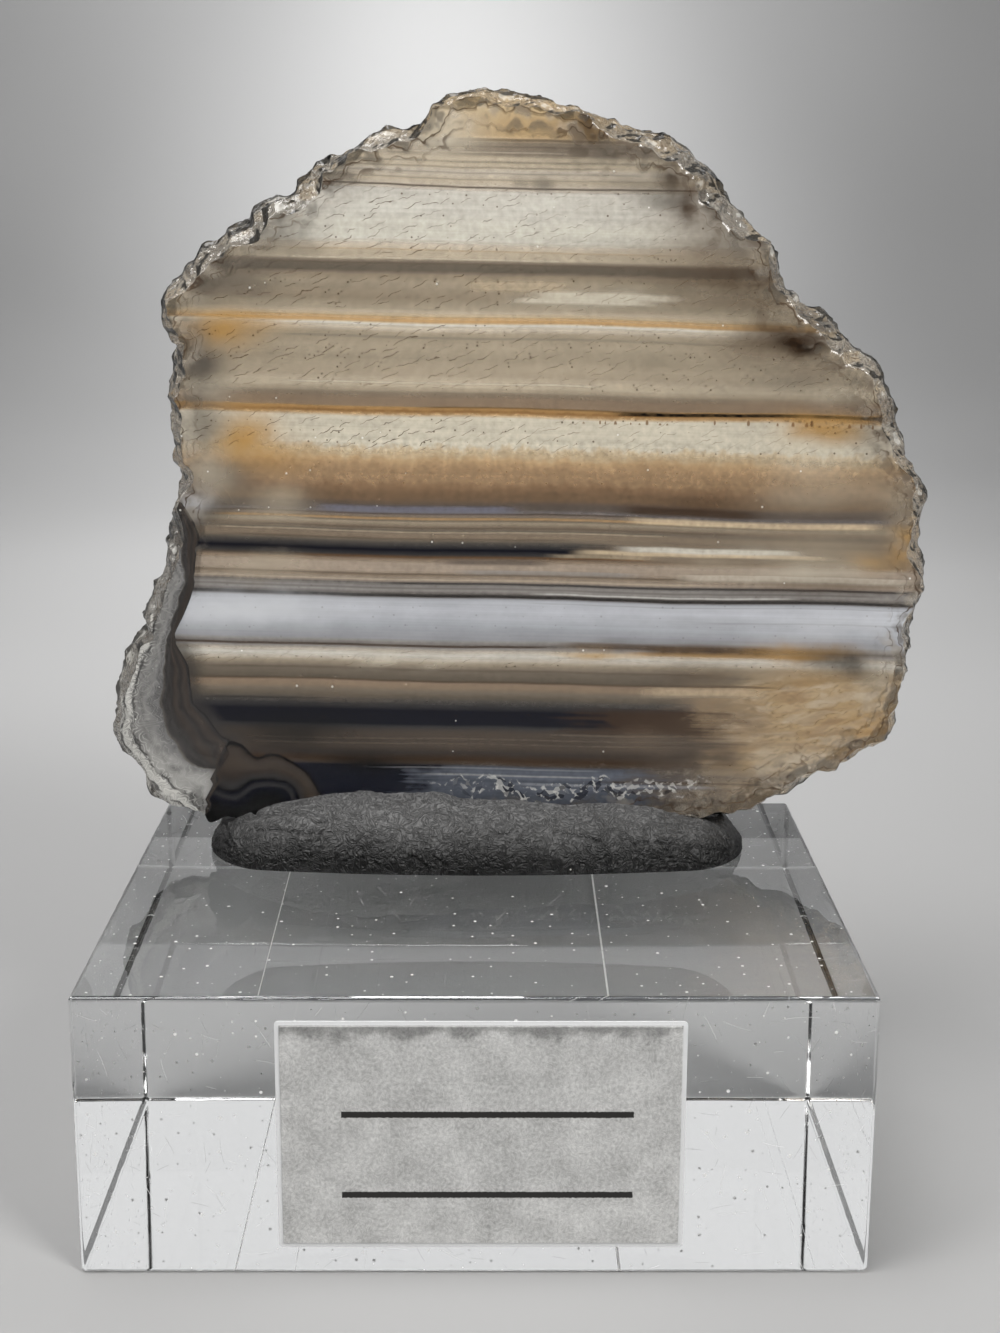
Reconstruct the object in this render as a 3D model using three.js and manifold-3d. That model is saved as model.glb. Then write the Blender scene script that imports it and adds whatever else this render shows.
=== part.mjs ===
// A thin polished slice of banded agate standing on edge. It is pressed into a roll of dark putty on a
// clear block that carries a plain label. Millimetres, +Z up, the labelled front faces -Y, and the
// origin is at the middle of the block's underside.

import * as THREE from 'three';
import { ConvexGeometry } from 'three/addons/geometries/ConvexGeometry.js';
import { mergeVertices } from 'three/addons/utils/BufferGeometryUtils.js';
import Module from 'manifold-3d';

// Driving dimensions
const BLOCK = { width: 40, depth: 30, height: 15, bevel: 0.25 };
const LABEL = { width: 20.4, height: 12.3, thickness: 0.15, centreX: 0.3, bottom: 1.5 };
const SLICE = { frontY: 5.5, thickness: 3.6 };
const PUTTY = { halfLength: 16.05, centreY: 7.3, halfDepth: 5.6, fullness: 2.3 };
const GAP = 0.3;

// The slice's natural outline, clockwise from its top, as [x, z]. The last row lies hidden in the putty.
const OUTLINE = [
  [0.4, 59.2], [1.2, 59.0], [3.3, 58.6], [5.2, 58.4], [6.7, 57.8], [8.4, 57.2], [10.2, 56.6],
  [11.2, 56.1], [12.5, 55.2], [13.1, 54.5], [13.4, 53.5], [14.1, 52.8], [14.7, 52.2], [16.1, 51.1],
  [16.6, 50.3], [17.0, 49.2], [17.8, 48.0], [18.8, 47.3], [19.8, 46.3], [21.1, 45.1], [22.3, 44.5],
  [22.8, 43.5], [23.5, 41.7], [23.9, 40.5], [24.7, 39.0], [25.2, 38.1], [25.6, 36.5], [25.7, 34.8],
  [25.8, 32.7], [26.0, 31.3], [25.6, 30.3], [25.4, 28.7], [25.1, 27.1], [24.9, 25.4], [24.6, 23.2],
  [23.8, 22.3], [22.7, 21.0], [21.3, 20.1], [20.1, 20.1], [18.9, 19.4], [17.7, 18.9], [16.0, 18.1],
  [15.0, 17.7], [14.1, 17.4],
  [12.6, 16.9], [9.0, 16.4], [4.0, 16.2], [-2.0, 16.1], [-8.0, 16.2], [-12.0, 16.5], [-14.2, 16.8],
  [-15.2, 17.1], [-15.8, 17.7], [-16.8, 18.0], [-18.3, 18.4], [-19.1, 19.2], [-20.0, 20.5],
  [-21.0, 21.5], [-21.4, 22.9], [-21.1, 24.4], [-20.9, 26.1], [-20.2, 27.6], [-19.1, 28.6],
  [-19.4, 29.4], [-18.6, 31.0], [-18.2, 32.5], [-17.9, 33.9], [-17.5, 35.1], [-17.4, 36.6],
  [-17.1, 38.3], [-17.5, 39.1], [-17.3, 39.8], [-17.5, 40.3], [-17.6, 41.8], [-17.7, 42.9],
  [-17.2, 44.0], [-17.0, 45.1], [-17.5, 45.3], [-17.7, 46.8], [-17.4, 48.1], [-16.6, 48.9],
  [-15.9, 49.9], [-14.8, 50.7], [-13.9, 51.3], [-12.6, 51.9], [-12.1, 52.7], [-11.4, 53.3],
  [-10.5, 53.4], [-9.7, 54.2], [-8.9, 55.0], [-8.1, 55.5], [-6.4, 56.4], [-4.9, 57.0], [-3.6, 57.1],
  [-2.8, 57.6], [-2.5, 58.5], [-1.0, 58.9],
];
const OUTLINE_STEPS = 300;
// Half width of the stretch over which the rim's inward direction is averaged, in outline steps
const NORMAL_REACH = 4;

// The rim from the front face to the back one: share of the thickness, how far it stands inside the
// outline, and how much of each chip shows there.
const RIM_ROWS = [
  { at: 0.0, inset: 0.5, front: 1.0, back: 0.0 },
  { at: 0.18, inset: 0.25, front: 0.6, back: 0.0 },
  { at: 0.45, inset: 0.0, front: 0.35, back: 0.25 },
  { at: 0.76, inset: 0.1, front: 0.0, back: 0.65 },
  { at: 1.0, inset: 0.4, front: 0.0, back: 1.0 },
];
const CHIPS = { count: 96, narrowest: 0.8, widest: 2.8, shallowest: 0.15, deepest: 0.75 };

// Height of the putty above the block along its length, as [x, height]
const PUTTY_CREST = [
  [-16.05, 1.9], [-15.1, 2.3], [-13.6, 2.8], [-11.4, 3.3], [-8.9, 3.8], [-6.8, 4.0], [-3.2, 3.95],
  [-0.4, 3.5], [2.9, 3.35], [7.5, 3.25], [9.8, 3.05], [11.6, 2.6], [13.0, 2.35], [16.05, 1.7],
];
const PUTTY_SECTIONS = 44;
const PUTTY_ARC_STEPS = 18;
const PUTTY_WAIST = 0.16;
const PUTTY_END_ROUND = 3.5;
const PUTTY_LUMPS = [
  { height: 0.16, alongX: 0.62, across: 1.0, phase: 0.4 },
  { height: 0.1, alongX: 1.35, across: 2.0, phase: 2.1 },
  { height: 0.05, alongX: 2.9, across: 3.0, phase: 4.0 },
];

// Finishes
const clearAcrylic = new THREE.MeshStandardMaterial({
  color: 0xe9ecec, roughness: 0.05, metalness: 0, transparent: true, opacity: 0.35,
});
const darkPutty = new THREE.MeshStandardMaterial({ color: 0x2c2c2d, roughness: 0.8, metalness: 0 });
const smokyAgate = new THREE.MeshStandardMaterial({ color: 0xa79a86, roughness: 0.2, metalness: 0 });
const silveredTape = new THREE.MeshStandardMaterial({ color: 0xb2b4b3, roughness: 0.5, metalness: 0.2 });

// A repeatable row of numbers from 0 to 1
function seededRandom(seed) {
  let state = seed;
  return () => {
    state = (state + 0x6d2b79f5) | 0;
    let t = Math.imul(state ^ (state >>> 15), 1 | state);
    t = (t + Math.imul(t ^ (t >>> 7), 61 | t)) ^ t;
    return ((t ^ (t >>> 14)) >>> 0) / 4294967296;
  };
}

function closedGeometry(positions, triangles) {
  const geometry = new THREE.BufferGeometry();
  geometry.setAttribute('position', new THREE.Float32BufferAttribute(positions, 3));
  geometry.setIndex(triangles);
  geometry.computeVertexNormals();
  return geometry;
}

function positionsOnly(geometry) {
  const bare = geometry.clone();
  bare.deleteAttribute('normal');
  bare.deleteAttribute('uv');
  return mergeVertices(bare, 1e-5);
}

// Clear block with a small flat bevel along every edge
function blockGeometry() {
  const corners = [];
  for (const sx of [-1, 1]) for (const sy of [-1, 1]) for (const top of [0, 1]) {
    const corner = new THREE.Vector3(sx * BLOCK.width / 2, sy * BLOCK.depth / 2, top * BLOCK.height);
    const inward = new THREE.Vector3(-sx, -sy, top ? -1 : 1).multiplyScalar(BLOCK.bevel);
    for (const kept of ['x', 'y', 'z']) {
      const point = corner.clone().add(inward);
      point[kept] = corner[kept];
      corners.push(point);
    }
  }
  return positionsOnly(new ConvexGeometry(corners));
}

// The outline as evenly spaced points, each with the direction into the stone
function sampleOutline() {
  const knots = OUTLINE.map(([x, z]) => new THREE.Vector3(x, 0, z));
  const curve = new THREE.CatmullRomCurve3(knots, true, 'centripetal');
  const points = curve.getSpacedPoints(OUTLINE_STEPS).slice(0, OUTLINE_STEPS);
  const at = (i) => points[(i + OUTLINE_STEPS) % OUTLINE_STEPS];
  return points.map((point, i) => {
    const along = at(i + NORMAL_REACH).clone().sub(at(i - NORMAL_REACH)).normalize();
    return { point, inward: new THREE.Vector3(along.z, 0, -along.x) };
  });
}

// Shell-shaped chips along the rim: depth at each outline point, for the front edge and the back edge
function chipDepths(perimeter) {
  const random = seededRandom(11);
  const between = (low, high) => low + (high - low) * random();
  const depths = { front: new Float32Array(OUTLINE_STEPS), back: new Float32Array(OUTLINE_STEPS) };
  const step = perimeter / OUTLINE_STEPS;
  for (const side of ['front', 'back']) {
    for (let n = 0; n < CHIPS.count; n++) {
      const centre = random() * OUTLINE_STEPS;
      const halfWidth = between(CHIPS.narrowest, CHIPS.widest) / step / 2;
      const depth = between(CHIPS.shallowest, CHIPS.deepest);
      for (let i = Math.ceil(centre - halfWidth); i <= centre + halfWidth; i++) {
        const k = (i + OUTLINE_STEPS) % OUTLINE_STEPS;
        const bite = depth * (1 - ((i - centre) / halfWidth) ** 2);
        depths[side][k] = Math.max(depths[side][k], bite);
      }
    }
  }
  return depths;
}

// The stone: two flat polished faces joined by rows of points round the chipped rim
function sliceGeometry(outline) {
  const perimeter = outline.reduce(
    (sum, { point }, i) => sum + point.distanceTo(outline[(i + 1) % OUTLINE_STEPS].point), 0);
  const chips = chipDepths(perimeter);
  const positions = [];
  for (const row of RIM_ROWS) {
    const y = SLICE.frontY + row.at * SLICE.thickness;
    outline.forEach(({ point, inward }, i) => {
      const inset = row.inset + row.front * chips.front[i] + row.back * chips.back[i];
      positions.push(point.x + inward.x * inset, y, point.z + inward.z * inset);
    });
  }
  const triangles = [];
  for (let row = 0; row < RIM_ROWS.length - 1; row++) {
    for (let i = 0; i < OUTLINE_STEPS; i++) {
      const a = row * OUTLINE_STEPS + i;
      const b = row * OUTLINE_STEPS + ((i + 1) % OUTLINE_STEPS);
      triangles.push(a, b, a + OUTLINE_STEPS, b, b + OUTLINE_STEPS, a + OUTLINE_STEPS);
    }
  }
  for (const [row, towardsFront] of [[0, true], [RIM_ROWS.length - 1, false]]) {
    const start = row * OUTLINE_STEPS;
    const ring = outline.map((_, i) => new THREE.Vector2(
      positions[3 * (start + i)], positions[3 * (start + i) + 2]));
    for (const face of THREE.ShapeUtils.triangulateShape(ring, [])) {
      const [a, b, c] = face;
      const anticlockwise = THREE.ShapeUtils.area([ring[a], ring[b], ring[c]]) > 0;
      const ordered = anticlockwise === towardsFront ? [a, b, c] : [a, c, b];
      triangles.push(...ordered.map((k) => start + k));
    }
  }
  return closedGeometry(positions, triangles);
}

// A value between the knots of a [position, value] list, on a smooth curve
function along(list, x) {
  let i = 1;
  while (i < list.length - 1 && list[i][0] < x) i++;
  const [x0, v0] = list[i - 1];
  const [x1, v1] = list[i];
  return THREE.MathUtils.lerp(v0, v1, THREE.MathUtils.smoothstep(x, x0, x1));
}

// Hand-rolled putty, flat underneath, with blunt ends
function puttyRoll() {
  const power = 2 / PUTTY.fullness;
  const positions = [-PUTTY.halfLength, PUTTY.centreY, BLOCK.height];
  const ringStart = (s) => 1 + (s - 1) * (PUTTY_ARC_STEPS + 1);
  for (let s = 1; s < PUTTY_SECTIONS; s++) {
    const x = -PUTTY.halfLength * Math.cos((Math.PI * s) / PUTTY_SECTIONS);
    const intoEnd = Math.max(0, Math.abs(x) - PUTTY.halfLength + PUTTY_END_ROUND) / PUTTY_END_ROUND;
    const endRound = Math.sqrt(1 - intoEnd ** 2);
    const halfDepth = PUTTY.halfDepth * (1 - PUTTY_WAIST * (x / 13) ** 2) * endRound;
    const height = along(PUTTY_CREST, x) * Math.sqrt(endRound);
    for (let k = 0; k <= PUTTY_ARC_STEPS; k++) {
      const angle = (Math.PI * k) / PUTTY_ARC_STEPS;
      const lift = Math.sin(angle);
      const lump = PUTTY_LUMPS.reduce((sum, wave) => sum
        + wave.height * Math.sin(wave.alongX * x + wave.across * angle + wave.phase), 0);
      const swell = 1 + (lump * lift * endRound) / PUTTY.halfDepth;
      const across = Math.sign(Math.cos(angle)) * Math.abs(Math.cos(angle)) ** power;
      positions.push(x, PUTTY.centreY - halfDepth * swell * across,
        BLOCK.height + height * swell * Math.max(0, lift) ** power);
    }
    positions[positions.length - 1] = BLOCK.height;
  }
  const farEnd = positions.length / 3;
  positions.push(PUTTY.halfLength, PUTTY.centreY, BLOCK.height);
  const triangles = [];
  const ringSize = PUTTY_ARC_STEPS + 1;
  for (let s = 1; s < PUTTY_SECTIONS - 1; s++) {
    for (let k = 0; k < ringSize; k++) {
      const next = (k + 1) % ringSize;
      const [a, b] = [ringStart(s) + k, ringStart(s) + next];
      const [c, d] = [ringStart(s + 1) + k, ringStart(s + 1) + next];
      triangles.push(a, c, b, b, c, d);
    }
  }
  for (let k = 0; k < ringSize; k++) {
    const next = (k + 1) % ringSize;
    triangles.push(0, ringStart(1) + k, ringStart(1) + next);
    triangles.push(farEnd, ringStart(PUTTY_SECTIONS - 1) + next, ringStart(PUTTY_SECTIONS - 1) + k);
  }
  return closedGeometry(positions, triangles);
}

// The stone's outline grown by the gap, as a plate that is thicker by the gap on both sides
function sliceClearance(outline) {
  const ring = outline.map(({ point, inward }) => new THREE.Vector2(
    point.x - inward.x * GAP, point.z - inward.z * GAP));
  const plate = new THREE.ExtrudeGeometry(new THREE.Shape(ring), {
    depth: SLICE.thickness + 2 * GAP, bevelEnabled: false, steps: 1,
  });
  plate.rotateX(Math.PI / 2);
  plate.translate(0, SLICE.frontY + SLICE.thickness + GAP, 0);
  return plate;
}

const wasm = await Module();
wasm.setup();

function solidOf(geometry) {
  const merged = positionsOnly(geometry);
  return new wasm.Manifold(new wasm.Mesh({
    numProp: 3,
    vertProperties: new Float32Array(merged.attributes.position.array),
    triVerts: new Uint32Array(merged.index.array),
  }));
}

function geometryOf(solid) {
  const mesh = solid.getMesh();
  return closedGeometry(Array.from(mesh.vertProperties), Array.from(mesh.triVerts));
}

// The putty with the slot that the stone stands in
function puttyGeometry(outline) {
  return geometryOf(solidOf(puttyRoll()).subtract(solidOf(sliceClearance(outline))));
}

function labelGeometry() {
  const box = new THREE.BoxGeometry(LABEL.width, LABEL.thickness, LABEL.height);
  return box.translate(
    LABEL.centreX, -BLOCK.depth / 2 - LABEL.thickness / 2, LABEL.bottom + LABEL.height / 2);
}

function piece(name, geometry, material) {
  const mesh = new THREE.Mesh(geometry, material);
  mesh.name = name;
  return mesh;
}

const outline = sampleOutline();
const standingSlice = new THREE.Group();
standingSlice.add(
  piece('acrylic_block', blockGeometry(), clearAcrylic),
  piece('label', labelGeometry(), silveredTape),
  piece('mounting_putty', puttyGeometry(outline), darkPutty),
  piece('agate_slice', sliceGeometry(outline), smokyAgate),
);

export default standingSlice;
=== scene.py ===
"""The looks of a banded agate slice that stands in a roll of putty on a clear block with a plain label.

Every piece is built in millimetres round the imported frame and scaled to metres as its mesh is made.
+Z is up and the labelled front faces -Y.
"""

import math

import bmesh
import bpy
import numpy as np
from mathutils import Matrix, Vector, geometry, kdtree, noise


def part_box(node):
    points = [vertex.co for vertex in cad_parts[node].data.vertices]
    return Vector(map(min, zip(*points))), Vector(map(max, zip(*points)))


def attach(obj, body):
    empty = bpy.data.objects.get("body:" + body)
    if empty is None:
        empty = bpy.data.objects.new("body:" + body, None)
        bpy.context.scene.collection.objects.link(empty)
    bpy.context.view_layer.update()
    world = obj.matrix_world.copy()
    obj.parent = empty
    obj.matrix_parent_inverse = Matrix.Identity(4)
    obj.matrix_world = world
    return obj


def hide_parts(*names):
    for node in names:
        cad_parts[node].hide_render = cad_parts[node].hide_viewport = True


MM = 0.001
SEED = 11

# The photograph's camera
CAMERA_PLACE = (0.57, -100.44, 53.91)
CAMERA_PITCH, CAMERA_YAW, CAMERA_ROLL = 12.47, 0.39, 0.21
CAMERA_LENS = 50.52
CAMERA_SHIFT_Y = -0.0499
CAMERA_CLIP = (0.005, 5.0)

# The stone's broken edge; its chips by size in mm, how much longer than high they are, and depth in mm
CHIPS = [(1.3, 1.4, 0.40), (0.66, 1.5, 0.24), (0.32, 1.5, 0.09)]
LEDGE_HEIGHT, LEDGE_DEPTH = 0.42, 0.05

# Where the broken edge reaches over the front: how far further, then x, z, half width, half height
LIP_WIDTH = 0.64
LIP_BULGES = [(0.6, 12, 53.5, 5, 4), (0.1, -20, 23, 4, 6), (0.4, 24, 40, 4, 8), (0.5, -13, 50, 5, 4)]
NARROW_LIP = (3, 59, 6, 2)
RIM_POINTS = 1500
RIM_ROWS = 32
RIM_SMOOTHING = 0.07
DIRECTION_SMOOTHING = 0.9
FACE_GRID = 0.36
FACE_GRID_CLEARANCE = 0.2

# The stone's outline as [x, z] in mm, from the top down the left side and up the right one
STONE_OUTLINE = [
    (0.36, 59.24), (-0.02, 59.13), (-0.52, 59.08), (-1.64, 58.77), (-2.03, 58.54), (-2.53, 58.48),
    (-2.7, 58.29), (-2.87, 57.72), (-3.06, 57.41), (-3.43, 57.23), (-3.82, 57.12), (-4.32, 57.07),
    (-4.84, 57.12), (-5.16, 57.01), (-6.96, 56.24), (-7.35, 56.04), (-7.65, 55.81), (-8.2, 55.62),
    (-8.37, 55.53), (-8.54, 55.29), (-8.76, 55.15), (-9.06, 55.15), (-9.39, 54.76), (-9.56, 54.43),
    (-9.99, 54.05), (-10.25, 53.64), (-10.53, 53.5), (-10.99, 53.39), (-11.38, 53.42), (-11.72, 53.22),
    (-12.06, 53), (-12.7, 52.39), (-12.93, 51.95), (-13.84, 51.67), (-14.24, 51.44), (-14.34, 51.22),
    (-14.79, 50.75), (-15.19, 50.61), (-15.52, 50.39), (-16.23, 49.74), (-16.56, 49.61), (-16.8, 49.11),
    (-17.81, 47.86), (-17.94, 47.47), (-18.08, 46.62), (-18.04, 46.15), (-17.68, 45.12), (-17.42, 45.04),
    (-17.53, 43.78), (-17.9, 42.92), (-17.98, 42.31), (-17.87, 41.21), (-17.89, 40.62), (-17.79, 40.1),
    (-17.64, 39.63), (-17.84, 38.71), (-17.68, 38.23), (-17.43, 37.83), (-17.39, 37.3), (-17.56, 36.8),
    (-17.7, 36.18), (-17.74, 34.96), (-18.07, 33.84), (-18.28, 33.63), (-18.25, 33.22), (-18.54, 32.08),
    (-18.72, 31.57), (-18.99, 31.06), (-19.16, 30.44), (-19.44, 29.92), (-19.78, 29.07), (-19.52, 28.46),
    (-19.8, 28.16), (-20.23, 27.82), (-20.54, 27.4), (-21.32, 25.71), (-21.46, 25.1), (-21.52, 24.44),
    (-21.45, 23.8), (-21.75, 22.63), (-21.73, 22), (-21.31, 20.91), (-19.33, 18.09), (-18.83, 17.8),
    (-16.89, 17.3), (-16.35, 17.24), (-16.06, 16.79), (-14.4, 16.9), (-12, 16.5), (-8, 16.2), (-2, 16.1),
    (4, 16.2), (9, 16.4), (12.4, 16.9), (15.38, 17.05), (15.67, 17.29), (16.29, 17.49), (17.3, 18.08),
    (18.32, 18.31), (18.74, 18.5), (19.67, 19.09), (20.48, 19.53), (20.99, 19.53), (21.51, 19.7),
    (23.92, 21.42), (24.52, 22.09), (24.82, 22.27), (25, 22.71), (24.95, 23.15), (25.4, 25.27),
    (25.44, 25.7), (25.6, 26.24), (25.46, 26.67), (25.49, 27.18), (25.69, 27.6), (25.77, 28.02),
    (25.59, 28.44), (25.63, 28.86), (25.99, 29.71), (26.11, 30.14), (26.31, 30.54), (26.42, 30.96),
    (26.34, 32.01), (25.99, 33.54), (26.07, 34.16), (25.99, 34.67), (26.11, 35.17), (26.19, 36.41),
    (26.02, 37.01), (25.56, 38.12), (25.23, 38.64), (25, 39.13), (24.86, 39.63), (24.33, 40.53),
    (24.15, 40.93), (24.05, 41.43), (23.86, 41.95), (23.25, 42.93), (23.15, 43.42), (22.78, 44.3),
    (22.49, 44.56), (21.43, 45.1), (19.8, 46.91), (18.44, 47.64), (18.28, 47.98), (18.05, 48.05),
    (17.63, 48.37), (17.19, 49.23), (16.7, 50.62), (16.52, 50.99), (15.06, 52.28), (14.86, 52.56),
    (14.57, 52.83), (14.23, 53.04), (14.07, 53.38), (13.7, 53.59), (13.49, 53.93), (13.24, 54.68),
    (13.01, 55.03), (12.71, 55.39), (11.86, 56.04), (10.32, 56.8), (9.41, 56.97), (8.47, 57.4),
    (5.27, 58.47), (2.41, 58.93), (1.76, 58.93), (0.81, 59.05),
]

# Colours by name, as the eye sees them: sRGB, then how clear the stone is there
PALETTE = {
    "honey": ((172, 148, 112), 0.8), "honey_light": ((196, 174, 138), 0.8),
    "wheat": ((184, 166, 137), 0.84), "amber": ((182, 143, 85), 0.75),
    "gold_cream": ((207, 200, 183), 0.52), "cream": ((204, 200, 188), 0.6),
    "ivory": ((196, 192, 182), 0.66), "straw": ((208, 189, 159), 0.6), "pale": ((180, 171, 157), 0.8),
    "sand": ((177, 165, 145), 0.8), "sand_light": ((190, 179, 162), 0.82),
    "sand_grey": ((162, 150, 131), 0.76), "taupe_light": ((152, 141, 123), 0.74),
    "taupe": ((142, 129, 111), 0.72), "taupe_brown": ((128, 117, 103), 0.7),
    "taupe_dark": ((104, 96, 85), 0.62), "brown_grey": ((134, 117, 99), 0.66),
    "rust_light": ((190, 161, 122), 0.72), "rust": ((166, 132, 88), 0.62),
    "rust_dark": ((104, 74, 46), 0.5), "bush_light": ((184, 157, 122), 0.72),
    "bush": ((168, 141, 109), 0.68), "bush_mid": ((152, 127, 99), 0.64),
    "bush_dark": ((132, 107, 83), 0.62), "bush_umber": ((113, 93, 73), 0.58),
    "umber_grey": ((93, 84, 77), 0.55), "violet_grey": ((110, 105, 103), 0.55),
    "periwinkle": ((112, 112, 124), 0.45), "olive": ((129, 115, 99), 0.7),
    "olive_grey": ((112, 103, 91), 0.66), "olive_dark": ((95, 87, 76), 0.62),
    "rose_sand": ((160, 146, 131), 0.62), "grey_mist": ((137, 133, 129), 0.52),
    "grey_dark": ((104, 99, 95), 0.55), "milk_white": ((188, 190, 193), 0.26),
    "milk": ((170, 172, 177), 0.28), "milk_grey": ((154, 156, 161), 0.32),
    "milk_dim": ((140, 141, 144), 0.42), "charcoal": ((80, 76, 71), 0.45), "dusk": ((54, 53, 53), 0.32),
    "navy": ((19, 21, 28), 0.16), "ink": ((12, 12, 14), 0.12), "brown": ((76, 67, 59), 0.45),
    "brown_dark": ((58, 51, 46), 0.4), "umber": ((62, 47, 35), 0.35), "steel": ((86, 90, 99), 0.32),
    "steel_dark": ((73, 77, 85), 0.3), "frost": ((212, 211, 206), 0.3), "smoke": ((98, 92, 84), 0.6),
    "glass": ((206, 202, 193), 0.96), "rind_white": ((178, 177, 173), 0.5),
    "rind_pale": ((134, 133, 131), 0.6), "rind_grey": ((108, 107, 107), 0.55),
    "rind_dark": ((54, 52, 51), 0.36), "rind_brown": ((68, 61, 56), 0.36),
}

# The beds from the top down: the height in mm where each colour is reached, at the middle of the slice
BEDS = [
    (59.6, "honey"), (58.9, "honey"), (58.1, "honey_light"), (57.4, "honey"), (56.6, "honey"),
    (56.4, "wheat"), (56.25, "taupe_brown"), (55.65, "taupe_brown"), (55.45, "sand"), (54.95, "sand"),
    (54.75, "pale"), (54.2, "sand"), (53.9, "pale"), (53.75, "pale"), (53.6, "ivory"), (52.4, "ivory"),
    (51.7, "cream"), (51.0, "cream"), (50.7, "sand_light"), (50.35, "sand"), (50.0, "sand"),
    (49.85, "taupe_brown"), (49.6, "taupe_dark"), (49.32, "taupe_dark"), (49.05, "taupe"),
    (48.6, "taupe_light"), (47.7, "taupe"), (47.4, "taupe_light"), (47.1, "sand_grey"), (46.9, "sand"),
    (46.7, "wheat"), (46.5, "rust_light"), (46.36, "rust_light"), (46.25, "gold_cream"),
    (46.0, "sand_light"), (45.75, "sand_grey"), (45.5, "taupe_light"), (45.0, "sand_grey"),
    (44.35, "taupe_light"), (43.8, "sand_grey"), (43.4, "sand_grey"), (43.1, "sand"), (42.8, "sand"),
    (42.6, "sand_grey"), (42.4, "taupe"), (42.15, "brown_grey"), (41.7, "brown_grey"), (41.55, "rust"),
    (41.4, "rust"), (41.22, "rust_light"), (41.05, "gold_cream"), (39.5, "gold_cream"), (39.2, "straw"),
    (38.95, "wheat"), (38.65, "bush_light"), (38.35, "bush"), (38.0, "bush_mid"), (37.5, "bush_mid"),
    (37.1, "bush_dark"), (36.7, "bush_umber"), (36.35, "bush_umber"), (36.05, "umber_grey"),
    (35.8, "umber_grey"), (35.6, "violet_grey"), (35.3, "olive"), (35.0, "taupe_light"), (34.8, "olive"),
    (34.55, "olive_grey"), (34.35, "olive"), (34.15, "olive"), (33.97, "olive_grey"), (33.82, "charcoal"),
    (33.62, "dusk"), (33.42, "navy"), (33.14, "dusk"), (33.0, "brown"), (32.85, "brown_grey"),
    (32.6, "rose_sand"), (32.15, "rose_sand"), (31.9, "olive"), (31.6, "rose_sand"), (31.42, "grey_dark"),
    (31.2, "grey_mist"), (30.98, "grey_mist"), (30.8, "grey_dark"), (30.6, "grey_dark"),
    (30.45, "milk_grey"), (30.25, "milk"), (29.6, "milk"), (28.9, "milk_grey"), (28.1, "milk_dim"),
    (27.9, "grey_mist"), (27.7, "grey_dark"), (27.52, "grey_mist"), (27.34, "pale"), (27.1, "ivory"),
    (26.8, "pale"), (26.6, "taupe_light"), (26.38, "taupe_brown"), (26.15, "olive_grey"),
    (25.6, "olive_dark"), (25.42, "brown_grey"), (25.15, "brown_grey"), (24.9, "olive_grey"),
    (24.6, "olive_dark"), (24.4, "charcoal"), (24.1, "dusk"), (23.75, "navy"), (22.95, "navy"),
    (22.75, "dusk"), (22.4, "brown"), (21.6, "brown"), (21.1, "brown_dark"), (20.75, "umber"),
    (20.5, "brown"), (20.35, "steel_dark"), (20.1, "steel"), (19.75, "steel"), (19.55, "steel_dark"),
    (19.2, "steel"), (18.8, "steel_dark"), (17.0, "navy"),
]
RAMP_SPANS = [(59.6, 50.5), (50.5, 44.5), (44.5, 36.9), (36.9, 32.25), (32.25, 26.5), (26.5, 17.0)]
BED_TILT = 0.0205

# Beds that get their own treatment: from, to, softness of their borders, all in mm
MILK_BED, BUSHY_BED = (28.1, 30.5, 0.2), (36.6, 39.6, 0.5)

# Clear beds with hairlines and specks in them: from, to, softness, share
CLEAR_BEDS = [
    (50.3, 53.7, 0.3, 1.0), (39.3, 41.1, 0.2, 1.0), (42.8, 46.2, 0.2, 0.95), (47.2, 49.6, 0.2, 0.95),
    (26.3, 27.3, 0.1, 0.6),
]
STONE_IOR, FACE_ROUGHNESS, EDGE_ROUGHNESS = 1.54, 0.14, 0.12

# How far the beds lean back through the thickness, and how that grows downwards
BED_LEAN, BED_LEAN_GROWTH, LEAN_LEVEL = 0.142, -0.0058, 30.0

# The light behind the stone fades downwards, so its own colours rise: height in mm and gain
STONE_GAINS = [(17.0, 1.8), (28.0, 1.8), (34.0, 1.7), (40.0, 1.8),
               (44.0, 1.95), (48.0, 1.8), (54.0, 1.75), (59.6, 2.0)]
STONE_GAIN, RIND_GAIN = 1.75, 1.6
SHEEN_FLOOR = 0.006


def linear(srgb, gain=STONE_GAIN):
    """Linear colour of the stone for a colour as seen by eye, an sRGB triple from 0 to 255."""
    rows = [max(0.002, gain * (((c / 255 + 0.055) / 1.055) ** 2.4 - SHEEN_FLOOR)) for c in srgb]
    return tuple(row * min(1.0, 0.96 / max(rows)) for row in rows)


def arithmetic(operation, swapped=False):
    """A method of Value that adds a node for a sum with another value or a number."""
    def apply(self, other):
        return self.nodes.math(operation, *((other, self) if swapped else (self, other)))
    return apply


class Value:
    """One output of a node, usable in sums."""

    def __init__(self, nodes, socket):
        self.nodes, self.socket = nodes, socket

    __add__, __radd__ = arithmetic("ADD"), arithmetic("ADD", swapped=True)
    __sub__, __rsub__ = arithmetic("SUBTRACT"), arithmetic("SUBTRACT", swapped=True)
    __mul__, __rmul__ = arithmetic("MULTIPLY"), arithmetic("MULTIPLY", swapped=True)
    __truediv__, __rtruediv__ = arithmetic("DIVIDE"), arithmetic("DIVIDE", swapped=True)


def material_nodes(name):
    """A new material and the nodes that it will have."""
    material = bpy.data.materials.new(name)
    material.use_nodes = True
    material.node_tree.nodes.clear()
    return material, Nodes(material.node_tree)


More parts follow.
